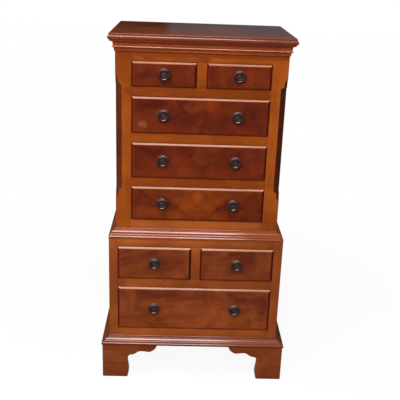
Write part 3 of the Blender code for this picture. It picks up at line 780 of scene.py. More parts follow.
def piece(
    name: str,
    mesh: bpy.types.Mesh,
    body: str,
    finishes: Sequence[Finish | bpy.types.Material],
    nodes: Sequence[str] = (),
    smooth: float = 30.0,
    at: Sequence[float] = (0.0, 0.0, 0.0),
    turn: Sequence[float] = (0.0, 0.0, 0.0),
) -> bpy.types.Object:
    """Puts a finished piece in the scene and on its body.

    Args:
        name: The piece's name.
        mesh: Its mesh.
        body: The body it rides on.
        finishes: Its finishes in the order of the material indices.
        nodes: The CAD nodes it stands for.
        smooth: Edges sharper than this many degrees stay sharp.
        at: Its location.
        turn: Its rotation.

    Returns:
        The object.
    """
    obj = bpy.data.objects.new(name, mesh)
    bpy.context.scene.collection.objects.link(obj)
    obj.location = at
    obj.rotation_euler = turn
    if not mesh.materials:
        for finish in finishes:
            mesh.materials.append(finish.material() if isinstance(finish, Finish) else finish)
        mesh.shade_smooth()
        mesh.set_sharp_from_angle(angle=math.radians(smooth))
    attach(obj, body)
    if nodes:
        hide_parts(*nodes)
    LOG.info("%s rides on %s", name, body)
    return obj


# ---- The two cases ----


@dataclass(frozen=True)
class Case:
    """The plan of one case."""

    width: float
    stile: float
    front: float
    upright: Finish
    level: Finish
    side: float = 0.018
    stile_depth: float = 0.022

    @property
    def half(self) -> float:
        """Half the case's width."""
        return self.width / 2

    @property
    def opening(self) -> float:
        """Half the width between the stiles."""
        return self.width / 2 - self.stile


@dataclass(frozen=True)
class Heights:
    """Levels from the floor up, and the planes of the back."""

    foot: float = 0.1196
    base: float = 0.1448
    bottom_floor: float = 0.1715
    bottom_ceiling: float = 0.3205
    small_floor: float = 0.3485
    small_ceiling: float = 0.4595
    lower_top: float = 0.4884
    waist: float = 0.5135
    fourth_floor: float = 0.5415
    fourth_ceiling: float = 0.6515
    third_floor: float = 0.678
    third_ceiling: float = 0.789
    second_floor: float = 0.8165
    second_ceiling: float = 0.928
    top_floor: float = 0.955
    top_ceiling: float = 1.030
    upper_top: float = 1.0558
    cornice: float = 1.0887
    top: float = 1.1065
    back: float = 0.20775
    back_inside: float = 0.20145


UPPER = Case(0.502, 0.047, -0.16225, Finish.STILE, Finish.RAIL)
LOWER = Case(0.544, 0.0275, -0.18325, Finish.LOWER_STILE, Finish.LOWER_RAIL)
LEVEL = Heights()
MUNTIN = 0.0286
CASE_BODY = "case"


@dataclass(frozen=True)
class Mouldings:
    """The mitred mouldings: cornice, waist and base, and the moulded top board."""

    fillet: Point2 = (0.003, 0.0022)
    cove: float = 0.006
    shoulder: float = 0.0032
    quirk: float = 0.0034
    hollow: float = 0.0014
    bead: Point2 = (0.0032, 0.0030)
    groove: float = 0.0008
    flare: float = 0.0018
    nose: Point2 = (0.0019, 0.0040)
    waist_step: float = 0.021
    waist_lip: float = 0.001
    base_step: float = 0.0245
    cornice_step: float = 0.020
    cornice_stock: float = 0.030
    skirt: float = 0.045

    def ogee(self, top: float, height: float, projection: float) -> list[Point2]:
        """The waist and base moulding from its foot up.

        Args:
            top: Its upper edge.
            height: How high it is.
            projection: How far its nose stands out.

        Returns:
            Points as distance out and height.
        """
        low = top - height
        shoulder_out = self.fillet[0] + self.cove
        nose_out, nose_top = projection - self.nose[0] - 0.00015, low + self.nose[1]
        flare_top = nose_top + self.flare
        bead_foot = flare_top + self.groove
        bead_top = bead_foot + self.bead[1]
        quirk_foot = bead_top + self.hollow
        quirk_top = quirk_foot + self.quirk
        cove_top = top - self.fillet[1]
        bead_in = shoulder_out + self.shoulder + self.hollow
        bead_out = bead_in + self.bead[0]
        ease = 0.0012
        points = arc((self.fillet[0] - ease, top - ease), (ease, ease), 90, 0, 3)
        points += arc((shoulder_out, cove_top), (self.cove, cove_top - quirk_top - self.shoulder), 180, 270, 8)
        points += shallow((shoulder_out, quirk_top + self.shoulder), self.shoulder)
        points += arc((bead_in, quirk_foot), (self.hollow, self.hollow), 180, 270, 4)
        points += arc((bead_in, bead_foot), self.bead, 90, 0, 6)
        points += arc((nose_out, flare_top), (nose_out - bead_out, self.flare), 180, 270, 4)
        points += shallow((nose_out, nose_top), self.nose[0])
        under = min((self.nose[1] - self.nose[0]) / 2, 0.0016)
        points += arc((nose_out + self.nose[0] - under, low + under), (under, under), 0, -90, 5)
        return tidy_points(points[::-1])

    def ogee_slots(self) -> list[int]:
        """The material indices of the ogee's faces from its foot up: rounds with a brighter painted highlight and
        duller hollows with a weaker one.
        """
        return [0] * 12 + [3] * 5 + [0] * 6 + [3] * 5 + [0] * 6 + [3] * 9 + [0] * 3

    def cornice_profile(self) -> list[Point2]:
        """The cornice from the frieze up: a small band, a hollow, a bead, the fascia and the ogee."""
        lip, fascia, bead, band = 0.0008, 0.006, 0.002, (0.0034, 0.0026)
        hollow, nose = (0.0042, 0.0052), (0.005, 0.0045)
        foot = LEVEL.upper_top + FIT
        hollow_foot, bead_foot = foot + band[1], 1.0663
        round_top = LEVEL.cornice - lip
        hollow_top = round_top - nose[1]
        hollow_out = fascia + hollow[0]
        points = [(lip, foot)]
        points += arc((band[0] - lip, foot + lip), (lip, lip), -90, 0, 3)
        points += arc((band[0] - lip, hollow_foot - lip), (lip, lip), 0, 90, 3)
        points += arc((fascia, hollow_foot), (fascia - band[0] + lip, bead_foot - hollow_foot), 180, 90, 6)
        points += arc((fascia, bead_foot + bead), (bead, bead), -90, 90, 12)
        points += arc((hollow_out, hollow_top - hollow[1]), hollow, 180, 90, 8)
        points += arc((hollow_out, round_top), nose, -90, 0, 8)
        points.append((hollow_out + nose[0], LEVEL.cornice))
        return tidy_points(points)

    def top_profile(self) -> list[Point2]:
        """The top board's edge from its underside up: a tall rounded nose and a low rounded step above it."""
        nose, shoulder, set_back, fall, high = (0.0045, 0.0072), 0.003, 0.0034, 0.0059, 0.0009
        middle = LEVEL.cornice + FIT + nose[1]
        step = LEVEL.top - fall
        edge = self.cornice_step - set_back
        points = arc((self.cornice_step - nose[0], middle), nose, -90, 0, 10)
        points += arc((self.cornice_step - shoulder, middle), (shoulder, step - middle), 0, 75, 8)
        points.append((edge, step))
        points += arc((edge - high, LEVEL.top - high), (high, high), 0, 90, 4)
        return tidy_points(points)

    def sweep(self, profile: Sequence[Point2], inner: float, case: Case, slots: Sequence[int] = ()) -> Solid:
        """Runs a moulding round three sides with mitred corners.

        Args:
            profile: Its face, as distance out and height, from its foot up.
            inner: How far inside the case its back face is.
            case: The case it runs round.
            slots: The material indices of the profile's first faces along the front.

        Returns:
            The moulding; its side lengths have material index 1.
        """
        section = [*profile, (-inner, profile[-1][1]), (-inner, profile[0][1])]
        stations = [
            lambda out, z: (-case.half - out, LEVEL.back, z),
            lambda out, z: (-case.half - out, case.front - out, z),
            lambda out, z: (case.half + out, case.front - out, z),
            lambda out, z: (case.half + out, LEVEL.back, z),
        ]
        solid = Solid()
        steps = solid.rings([[place(out, z) for out, z in section] for place in stations])
        for faces in (steps[0], steps[2], steps[3]):
            for face in faces:
                face.material_index = 1
        for face, slot in zip(steps[1], slots):
            face.material_index = slot
        return solid

    def build(self) -> None:
        """Makes the cornice and waist mouldings and the top board."""
        finishes = (Finish.MOULDING, Finish.RETURN, Finish.FRIEZE, Finish.BEAD)
        slots = [2] * 15 + [3] * 12
        cornice = self.sweep(self.cornice_profile(), self.cornice_stock, UPPER, slots)
        inner = UPPER.half - self.cornice_stock
        back = (inner - FIT, LEVEL.back, LEVEL.cornice)
        cornice.plank((-inner + FIT, LEVEL.back - self.cornice_stock, LEVEL.upper_top + FIT), back, HIDDEN_EASE, 0)
        mesh = cornice.mesh("cornice")
        piece("cornice_moulding_run", mesh, CASE_BODY, finishes, ["cornice_moulding"], 40)
        profile = self.ogee(LEVEL.waist, LEVEL.waist - LEVEL.lower_top - FIT, self.waist_step + self.waist_lip)
        finishes = (Finish.MOULDING, Finish.RETURN, Finish.RAIL, Finish.HOLLOW)
        waist = self.sweep(profile, -FIT, UPPER, self.ogee_slots())
        piece("waist_moulding_run", waist.mesh("waist"), CASE_BODY, finishes, ["waist_moulding"], 25)
        self._top_board()

    def _top_board(self) -> None:
        """The moulded top board."""
        profile = self.top_profile()
        loops = []
        for out, z in profile:
            side, front = UPPER.half + out, UPPER.front - out
            loops.append([(-side, front, z), (side, front, z), (side, LEVEL.back, z), (-side, LEVEL.back, z)])
        solid = Solid()
        steps = solid.rings(loops)
        for faces in steps[:-1]:
            for number, face in enumerate(faces):
                face.material_index = 3 if number else 1
        steps[-1][0].material_index = 2
        finishes = (Finish.TOP, Finish.RIM, Finish.CARCASE, Finish.RETURN)
        piece("moulded_top", solid.mesh("top"), CASE_BODY, finishes, ["top_board"], 40)


@dataclass(frozen=True)
class Base:
    """The base under the lower case: its moulding, bottom rail, board, bearers and guides."""

    dustboard: float = 0.010
    guide: float = 0.015

    def build(self, mouldings: Mouldings) -> None:
        """Makes the base.

        Args:
            mouldings: The mouldings, for the base's profile.
        """
        taller = {"nose": (0.0012, 0.0080), "flare": 0.0008, "groove": 0.0002}
        closer = {"bead": (0.0026, 0.0024), "hollow": 0.0012, "quirk": 0.0014}
        profile = replace(mouldings, **taller, **closer).ogee(LEVEL.base, LEVEL.base - LEVEL.foot, mouldings.base_step)
        run = mouldings.sweep(profile, mouldings.skirt, LOWER, mouldings.ogee_slots())
        inner = LOWER.half - mouldings.skirt
        low = (-inner + FIT, LEVEL.back - mouldings.skirt, LEVEL.foot)
        run.plank(low, (inner - FIT, LEVEL.back, LEVEL.base), 0.0006, 1)
        finishes = (Finish.BASE, Finish.RETURN, Finish.RAIL, Finish.BASE_HOLLOW)
        piece("base_moulding_run", run.mesh("base"), CASE_BODY, finishes, ["base_board"], 25)
        rail = Solid()
        end = LOWER.opening - JOINT
        behind = LOWER.front + LOWER.stile_depth
        rail.plank((-end, LOWER.front, LEVEL.base + FIT), (end, behind, LEVEL.bottom_floor), EASE)
        piece("bottom_rail", rail.mesh("bottom_rail"), CASE_BODY, [LOWER.level], ["base_board"])
        board = Solid()
        wide = LOWER.half - LOWER.side - FIT
        under = LEVEL.bottom_floor - self.dustboard
        board.plank((-wide, behind + FIT, under), (wide, LEVEL.back_inside, LEVEL.bottom_floor), HIDDEN_EASE)
        for hand in (-1, 1):
            xs = sorted((hand * LOWER.opening, hand * wide))
            top = LEVEL.bottom_floor + self.guide
            board.plank((xs[0], behind + FIT, LEVEL.bottom_floor + SEAM), (xs[1], LEVEL.back_inside, top), HIDDEN_EASE)
            xs = sorted((hand * inner, hand * wide))
            board.plank((xs[0], behind + FIT, LEVEL.base), (xs[1], LEVEL.back_inside, under - SEAM), HIDDEN_EASE)
        piece("bottom_dustboard", board.mesh("bottom_board"), CASE_BODY, [Finish.CARCASE], ["base_board"])


@dataclass(frozen=True)
class Divider:
    """A rail between two rows of drawers, with the dust board and guides behind it."""

    node: str
    case: Case
    low: float
    top: float
    split: bool = False
    finish: Finish | None = None
    dustboard: float = 0.010
    guide: float = 0.015

    def build(self) -> None:
        """Makes the rail and its runners."""
        case = self.case
        end = case.opening - JOINT
        behind = case.front + case.stile_depth
        rail = Solid()
        rail.plank((-end, case.front, self.low), (end, behind, self.top), EASE)
        finish = self.finish or case.level
        piece(f"{self.node}_rail", rail.mesh(self.node), CASE_BODY, [finish], [self.node])
        wide = case.half - case.side - FIT
        under = self.top - self.dustboard
        runner = Solid()
        runner.plank((-wide, behind + FIT, under), (wide, LEVEL.back_inside, self.top), HIDDEN_EASE)
        spans = [(-wide, -case.opening), (case.opening, wide)]
        if self.split:
            spans.append((-MUNTIN / 2, MUNTIN / 2))
        for start, stop in spans:
            low = (start, behind + FIT, self.top + SEAM)
            runner.plank(low, (stop, LEVEL.back_inside, self.top + self.guide), HIDDEN_EASE)
        name = f"{self.node}_runners"
        piece(name, runner.mesh(name), CASE_BODY, [Finish.CARCASE], [self.node])


@dataclass(frozen=True)
class TopFrame:
    """The rail over a case's top row, the muntin that hangs from it and the board behind."""

    node: str
    case: Case
    ceiling: float
    top: float
    floor: float
    board: float

    def build(self) -> None:
        """Makes the rail, the muntin and the board."""
        case = self.case
        end = case.opening - JOINT
        behind = case.front + case.stile_depth
        rail = Solid()
        rail.plank((-end, case.front, self.ceiling), (end, behind, self.top), EASE)
        piece(f"{self.node}_rail", rail.mesh(self.node), CASE_BODY, [case.level], [self.node])
        muntin = Solid()
        low = (-MUNTIN / 2, case.front, self.floor + FIT)
        muntin.plank(low, (MUNTIN / 2, behind, self.ceiling - SEAM), EASE)
        piece(f"{self.node}_muntin", muntin.mesh("muntin"), CASE_BODY, [case.upright], [self.node])
        wide = case.half - case.side - FIT
        board = Solid()
        board.plank((-wide, behind + FIT, self.top - self.board), (wide, LEVEL.back_inside, self.top), HIDDEN_EASE)
        name = f"{self.node}_inner_board"
        piece(name, board.mesh(name), CASE_BODY, [Finish.CARCASE], [self.node])


@dataclass(frozen=True)
class Side:
    """A side panel of a case with its corner stile, canted, fluted and stopped on the upper case."""

    case: Case
    hand: int
    word: str
    low: float
    top: float
    rebate: float = 0.009
    cant: float = 0.0
    cant_low: float = 0.615
    cant_top: float = 0.989
    tongue_round: Point2 = (0.0087, 0.016)
    tongue_hollow: Point2 = (0.0038, 0.009)
    tongue_step: float = 0.005
    flutes: int = 3
    flute_radius: float = 0.0022
    flute_pitch: float = 0.0066
    flute_margin: float = 0.028

    def _tongue(self, tip: float, way: int) -> list[Point2]:
        """The stop's outline, as depth into the corner and height.

        Args:
            tip: Where the stop starts on the corner.
            way: 1 for upwards, -1 for downwards.

        Returns:
            The points from the tip to the full cant.
        """
        steps = 10
        swing = [math.pi / 2 * i / steps for i in range(steps + 1)]
        first, length = self.tongue_round
        legs = [(first * math.sin(a), length * (1 - math.cos(a))) for a in swing]
        width, extent = self.tongue_hollow
        legs += [(first + width * (1 - math.cos(a)), length + extent * math.sin(a)) for a in swing[1:]]
        legs.append((self.cant, length + extent + self.tongue_step))
        return [(leg / math.sqrt(2), tip + way * along) for leg, along in legs]

    def _carve_cant(self, stile: Solid) -> None:
        """Cuts the cant, its stops and its flutes.

        Args:
            stile: The square stile.
        """
        corner = Vector((self.hand * self.case.half, self.case.front, 0))
        heading = math.radians(90 + self.hand * 45)
        turn = Matrix.Translation(corner) @ Matrix.Rotation(heading, 4, "Z")
        outline = [(-0.01, self.cant_low), *self._tongue(self.cant_low, 1)]
        outline += [*self._tongue(self.cant_top, -1)[::-1], (-0.01, self.cant_top)]
        tool = Solid()
        tool.prism(outline, "Y", -0.03, 0.03)
        bmesh.ops.transform(tool.form, matrix=turn, verts=tool.form.verts)
        stile.carve(tool, 2, 1)
        stop = self.tongue_round[1] + self.tongue_hollow[1] + self.tongue_step + self.flute_margin
        half = (self.cant_top - self.cant_low) / 2 - stop
        for number in range(self.flutes):
            across = self.flute_pitch * (number - (self.flutes - 1) / 2)
            place = Matrix.Translation((self.cant / math.sqrt(2), across, (self.cant_top + self.cant_low) / 2))
            tool = self._flute(half)
            bmesh.ops.transform(tool.form, matrix=turn @ place, verts=tool.form.verts)
            stile.carve(tool, 2, 1)

    def _flute(self, half: float) -> Solid:
        """A round-ended rod that cuts one flute.

        Args:
            half: Half its length.

        Returns:
            The rod, upright about the origin.
        """
        sides, radius = 24, self.flute_radius
        straight = half - radius
        levels = [(r, z + straight) for r, z in arc((0, 0), (radius, radius), 82, 0, 6)]
        levels += [(r, z - straight) for r, z in arc((0, 0), (radius, radius), 0, -82, 6)]
        turns = [2 * math.pi * (i + 0.5) / sides for i in range(sides)]
        rod = Solid()
        rod.rings([[(r * math.cos(a), r * math.sin(a), z) for a in turns] for r, z in levels])
        return rod

    def build(self) -> None:
        """Makes the panel and the stile."""
        case, hand = self.case, self.hand
        name = f"{self.word}_side"
        behind = case.front + case.stile_depth
        outer, inner = hand * case.half, hand * (case.half - case.stile)
        stile = Solid()
        faces = stile.prism(
            [(outer, case.front), (inner, case.front), (inner, behind), (outer, behind)], "Z", self.low, self.top
        )
        edges = [
            edge
            for edge in {edge for step in faces for face in step for edge in face.edges}
            if abs(edge.verts[0].co.z - edge.verts[1].co.z) > 0.01
        ]
        bmesh.ops.bevel(stile.form, geom=edges, offset=HIDDEN_EASE, segments=2, profile=0.5, affect="EDGES")
        if self.cant:
            self._carve_cant(stile)
        finishes = (case.upright, Finish.CANT)
        piece(f"{name}_stile", stile.mesh(name + "_stile"), CASE_BODY, finishes, [name])
        thin, rebate = hand * (case.half - case.side), hand * (case.half - self.rebate)
        plan = [
            (outer, behind + SEAM),
            (thin, behind + SEAM),
            (thin, LEVEL.back_inside),
            (rebate, LEVEL.back_inside),
            (rebate, LEVEL.back),
            (outer, LEVEL.back),
        ]
        panel = Solid()
        panel.prism(plan, "Z", self.low, self.top)
        panel.soften(HIDDEN_EASE)
        piece(f"{name}_panel", panel.mesh(name + "_panel"), CASE_BODY, [Finish.PANEL], [name])


SCROLL = (
    (0.0815, 0.055),
    (0.0865, 0.0385),
    (0.097, 0.036),
    (0.107, 0.0315),
    (0.118, 0.0240),
    (0.134, 0.0230),
    (0.152, 0.0250),
    (0.166, 0.0180),
    (0.1745, 0.0075),
    (0.177, 0.0),
)


@dataclass(frozen=True)
class Foot:
    """A bracket foot: two mitred brackets and a glue block."""

    hand: int
    front: bool
    inset: float = 0.003
    thickness: float = 0.020
    pad: float = 0.082
    block: float = 0.038
    rear_length: float = 0.130
    rear_drop: float = 0.045
    base_step: float = 0.0245
    toe_round: float = 0.005
    heel_round: float = 0.003

    def _scrolled(self) -> list[Point2]:
        """The scrolled outline: distance from the outer corner and height."""
        top = LEVEL.foot - FIT
        toe = arc((self.pad - self.toe_round, self.toe_round), (self.toe_round, self.toe_round), -90, 0, 6)
        knots = [toe[-1], (self.pad + 0.0035, 0.025)] + [(out, top - drop) for out, drop in SCROLL]
        path = [Vector(knot) for knot in knots]
        ends = [2 * path[0] - path[1], *path, 2 * path[-1] - path[-2]]
        curve: list[Point2] = []
        steps = 6
        for before, start, end, after in zip(ends, ends[1:], ends[2:], ends[3:]):
            for step in range(steps):
                t = step / steps
                bend = (2 * before - 5 * start + 4 * end - after) * t * t
                bend += (3 * start - before - 3 * end + after) * t * t * t
                spot = start + ((end - before) * t + bend) / 2
                curve.append((spot.x, min(spot.y, top)))
        heel = arc((self.heel_round, self.heel_round), (self.heel_round, self.heel_round), 180, 270, 4)
        return tidy_points([*heel, *toe[:-1], *curve, (path[-1].x, top), (0.0, top)], 1e-4)

    def _bracket(self, outline: Sequence[Point2], place: Callable[[float, float, float], tuple]) -> Solid:
        """One bracket, mitred at the outer corner.

        Args:
            outline: Its face.
            place: Gives the place of a point from its distance along, its depth and its height.

        Returns:
            The bracket.
        """
        deep, lift = self.thickness - FIT, 1e-5
        outer = [place(out, 0.0, max(z, lift)) for out, z in outline]
        inner = [place(max(out, deep), deep, max(z, lift)) for out, z in outline]
        solid = Solid()
        solid.rings([outer, inner])
        solid.soften(0.0007, 40)
        return solid

    def build(self) -> None:
        """Makes the foot's brackets and block."""
        word = f"{'front' if self.front else 'rear'}_{'left' if self.hand < 0 else 'right'}_foot"
        outer = self.hand * (LOWER.half + self.base_step - self.inset)
        way = 1 if self.front else -1
        face = LOWER.front - self.base_step + self.inset if self.front else LEVEL.back
        scrolled = self._scrolled()
        top = LEVEL.foot - FIT
        plain = [(0, 0), (self.pad, 0), (self.pad, top - self.rear_drop), (self.rear_length, top), (0, top)]
        side = self._bracket(scrolled, lambda out, deep, z: (outer - self.hand * deep, face + way * out, z))
        cross = self._bracket(
            scrolled if self.front else plain, lambda out, deep, z: (outer - self.hand * out, face + way * deep, z)
        )
        piece(f"{word}_side_bracket", side.mesh(word), CASE_BODY, [Finish.FOOT], [word], 40)
        piece(f"{word}_cross_bracket", cross.mesh(word), CASE_BODY, [Finish.FOOT], [word], 40)
        near, far = self.thickness, self.thickness + self.block
        xs = sorted((outer - self.hand * near, outer - self.hand * far))
        ys = sorted((face + way * near, face + way * far))
        block = Solid()
        block.plank((xs[0], ys[0], 0.0), (xs[1], ys[1], top), 0.001)
        piece(f"{word}_block", block.mesh(word), CASE_BODY, [Finish.CARCASE], [word])


# ---- Drawers and pulls ----


@dataclass(frozen=True)
class PullShape:
    """The turned plate with its lug, bolt and nut, and the ring that swings in the lug."""

    plate_radius: float = 0.0185
    ring_radius: float = 0.0136
    wire: float = 0.0019
    ring_out: float = 0.0044
    lug_width: float = 0.007
    front_thickness: float = 0.021
    seat: float = 0.0

    def plate(self) -> bpy.types.Mesh:
        """The plate, turned about Z with the drawer's face at zero and the lug towards +Y."""
        profile = [
            (0.0006, 0.00345),
            (0.0030, 0.00335),
            (0.0050, 0.0029),
            (0.0064, 0.0021),
            (0.0070, 0.0018),
            (0.0076, 0.0021),
            (0.0085, 0.0025),
            (0.0093, 0.0021),
            (0.0098, 0.0016),
            (0.0120, 0.0014),
            (0.0140, 0.0016),
        ]
        profile += arc((0.0162, 0.0012), (0.0020, 0.0017), 160, 20, 10)
        profile += [(0.0184, 0.0012), (self.plate_radius, 0.0008), (self.plate_radius, self.seat)]
        nut = -self.front_thickness - 2 * FIT
        profile += [(0.002, self.seat), (0.002, nut), (0.0045, nut), (0.0045, nut - 0.003), (0.0006, nut - 0.003)]
        solid = Solid()
        sides = 48
        turns = [2 * math.pi * i / sides for i in range(sides)]
        solid.rings([[(r * math.cos(a), r * math.sin(a), z) for a in turns] for r, z in profile])
        self._lug(solid)
        return solid.mesh("pull_plate")

    def _lug(self, solid: Solid) -> None:
        """Adds the pierced lug.

        Args:
            solid: The plate.
        """
        hole = self.wire + 0.0007
        knuckle = hole + 0.0011
        outer = arc((self.ring_radius, self.ring_out), (knuckle, knuckle), -20, 200, 16)
        outer = [(self.ring_radius + knuckle, 0.0006), *outer, (self.ring_radius - knuckle, 0.0006)]
        count = len(outer)
        inner = [
            (
                self.ring_radius + hole * math.cos(math.radians(-60 + 300 * i / (count - 1))),
                self.ring_out + hole * math.sin(math.radians(-60 + 300 * i / (count - 1))),
            )
            for i in range(count)
        ]
        half = self.lug_width / 2
        ease = 0.0007
        loops = []
        for (oy, oz), (iy, iz) in zip(outer, inner):
            away = Vector((oy - iy, oz - iz)).normalized() * ease
            loops.append(
                [
                    (-half + ease, oy, oz),
                    (half - ease, oy, oz),
                    (half, oy - away.x, oz - away.y),
                    (half, iy + away.x, iz + away.y),
                    (half - ease, iy, iz),
                    (-half + ease, iy, iz),
                    (-half, iy + away.x, iz + away.y),
                    (-half, oy - away.x, oz - away.y),
                ]
            )
        solid.rings(loops)

    def ring(self) -> bpy.types.Mesh:
        """The ring, hanging from its pivot at the origin."""
        around, sides = 72, 18
        solid = Solid()
        loops = []
        for i in range(around):
            a = 2 * math.pi * i / around
            loop = []
            for j in range(sides):
                b = 2 * math.pi * j / sides
                reach = self.ring_radius + self.wire * math.cos(b)
                loop.append((reach * math.sin(a), self.wire * math.sin(b), reach * math.cos(a) - self.ring_radius))
            loops.append(loop)
        solid.rings(loops, closed=True)
        return solid.mesh("pull_ring")


@dataclass
class Drawer:
    """A drawer: its veneered front, its box and its pulls."""

    name: str
    case: Case
    floor: float
    ceiling: float
    side: int
    figure: Figure
    tones: tuple[Colour, Colour]
    reveal: float = 0.0012
    top_gap: float = 0.0019
    proud: float = 0.006
    bevel: float = 0.0056
    thickness: float = 0.021
    lining: float = 0.009
    side_drop: float = 0.006
    tail_pitch: float = 0.031
    tail_length: float = 0.011
    tail_half: float = 0.0065
    tail_flare: float = 0.0016
    bolt_hole: float = 0.0023
    pulls: dict[str, float] = field(default_factory=dict)

    def __post_init__(self) -> None:
        """Works out where the pulls are."""
        self.body = f"{self.name}_drawer"
        wide = self.case.opening
        small = (wide + MUNTIN / 2) / 2
        self.centre = self.side * small
        self.half = (wide - MUNTIN / 2) / 2 - self.reveal if self.side else wide - self.reveal
        self.pulls = {"": 0.0} if self.side else {"_left": -small, "_right": small}

    def _edge_profile(self) -> list[Point2]:
        """The moulded edge: how far in from the edge and the depth, from the back to the field."""
        inside = self.thickness - self.proud
        shares = [step / 6 for step in range(7)]
        bevel = [(self.bevel * s, -0.0002 - (self.proud - 0.0002) * s * (1.5 - 0.5 * s)) for s in shares]
        return [(0.0, inside), *bevel]

    def build_front(self) -> None:
        """Makes the front with its moulded edge, dovetail sockets and bolt holes."""
        solid = Solid()
        low, high = self.floor + self.reveal, self.ceiling - self.top_gap
        loops = []
        for inset, depth in self._edge_profile():
            left, right = self.centre - self.half + inset, self.centre + self.half - inset
            y = self.case.front + depth
            loops.append(
                [(left, y, low + inset), (right, y, low + inset), (right, y, high - inset), (left, y, high - inset)]
            )
        steps = solid.rings(loops)
        for index, faces in enumerate(steps[:-1]):
            for number, face in enumerate(faces):
                # Bottom and top bevels take the level edge finish, whose highlight is painted; the side bevels take the
                # darker upright one, painted shade, except the left bevel's two inner steps, a painted light line.
                face.material_index = 3 if index == 0 else (1, 2, 1, 1 if index > 4 else 2)[number]
        steps[-1][0].material_index = 3
        self._cut_sockets(solid)
        reach = (self.half, (high - low) / 2)
        # Painted shadow: a soft darker patch just right of and below each pull.
        pull_shadows = [
            Patch((across + 0.004) / reach[0], -0.005 / reach[1], 0.021 / reach[0], 0.023 / reach[1], -0.26)
            for across in self.pulls.values()
        ]
        figure = replace(self.figure, patches=(*self.figure.patches, *pull_shadows))
        veneer = Veneer(f"{self.name}_veneer", (self.centre, (low + high) / 2), reach, figure, *self.tones)
        finishes = (veneer.material(), Finish.EDGE, Finish.EDGE_SIDE_SHADE, Finish.CORE)
        name = f"{self.name}_drawer_front"
        piece(f"{self.name}_veneered_front", solid.mesh(name), self.body, finishes, [name], 25)

    def _cut_sockets(self, solid: Solid) -> None:
        """Cuts the sockets that the box's dovetails sit in, and the bolt holes.

        Args:
            solid: The front.
        """
        height = self.ceiling - self.floor - self.side_drop - FIT
        count = max(2, round(height / self.tail_pitch))
        inside = self.thickness - self.proud
        tip = inside - self.tail_length - FIT
        for number in range(count):
            middle = self.floor + FIT + height * (number + 0.5) / count
            root, flared = self.tail_half + FIT, self.tail_half + self.tail_flare + FIT
            y0, y1 = self.case.front + inside + 0.01, self.case.front + tip
            outline = [(y0, middle - root), (y0, middle + root), (y1, middle + flared), (y1, middle - flared)]
            for hand in (-1, 1):
                near, far = self.half - self.lining - FIT, self.half + 0.01
                ends = sorted((self.centre + hand * near, self.centre + hand * far))
                tool = Solid()
                tool.prism(outline, "X", *ends)
                solid.carve(tool, 4, 3)
        for across in self.pulls.values():
            tool = Solid()
            middle = (self.centre + across, (self.floor + self.ceiling) / 2)
            hole = arc(middle, (self.bolt_hole, self.bolt_hole), 0, 345, 23)
            tool.prism(hole, "Y", self.case.front - 0.02, self.case.front + 0.03)
            solid.carve(tool, 4, 3)

    def build_pulls(self, plate: bpy.types.Mesh, ring: bpy.types.Mesh, shape: PullShape) -> None:
        """Puts the pulls on the front.

        Args:
            plate: The plate's mesh.
            ring: The ring's mesh.
            shape: The pull's sizes.
        """
        face = self.case.front - self.proud - FIT
        height = (self.floor + self.ceiling) / 2
        for word, across in self.pulls.items():
            name = f"{self.name}{word}_pull"
            at = (self.centre + across, face, height)
            turn = (math.pi / 2, 0, 0)
            piece(f"{name}_turned_plate", plate, self.body, [Finish.BRONZE], [f"{name}_plate"], 50, at, turn)
            at = (self.centre + across, face - shape.ring_out, height + shape.ring_radius)
            swing = f"{name}_ring_body"
            piece(f"{name}_hanging_ring", ring, swing, [Finish.RING], [f"{name}_ring"], 180, at)

    def dress_box(self) -> None:
        """Gives the drawer's box its lining wood."""
        dress_node(f"{self.name}_drawer_box", Finish.LINING)


def dress_node(node: str, finish: Finish) -> None:
    """Gives a CAD node a finish.

    Args:
        node: The node's name.
        finish: The finish.
    """
    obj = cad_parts[node]
    for slot in obj.material_slots:
        slot.material = finish.material()
    LOG.info("%s keeps its solid", node)


RED = (srgb(119, 47, 20), srgb(76, 25, 14))
ORANGE = (srgb(142, 63, 19), srgb(78, 27, 13))
BROWN = (srgb(140, 68, 30), srgb(92, 38, 21))


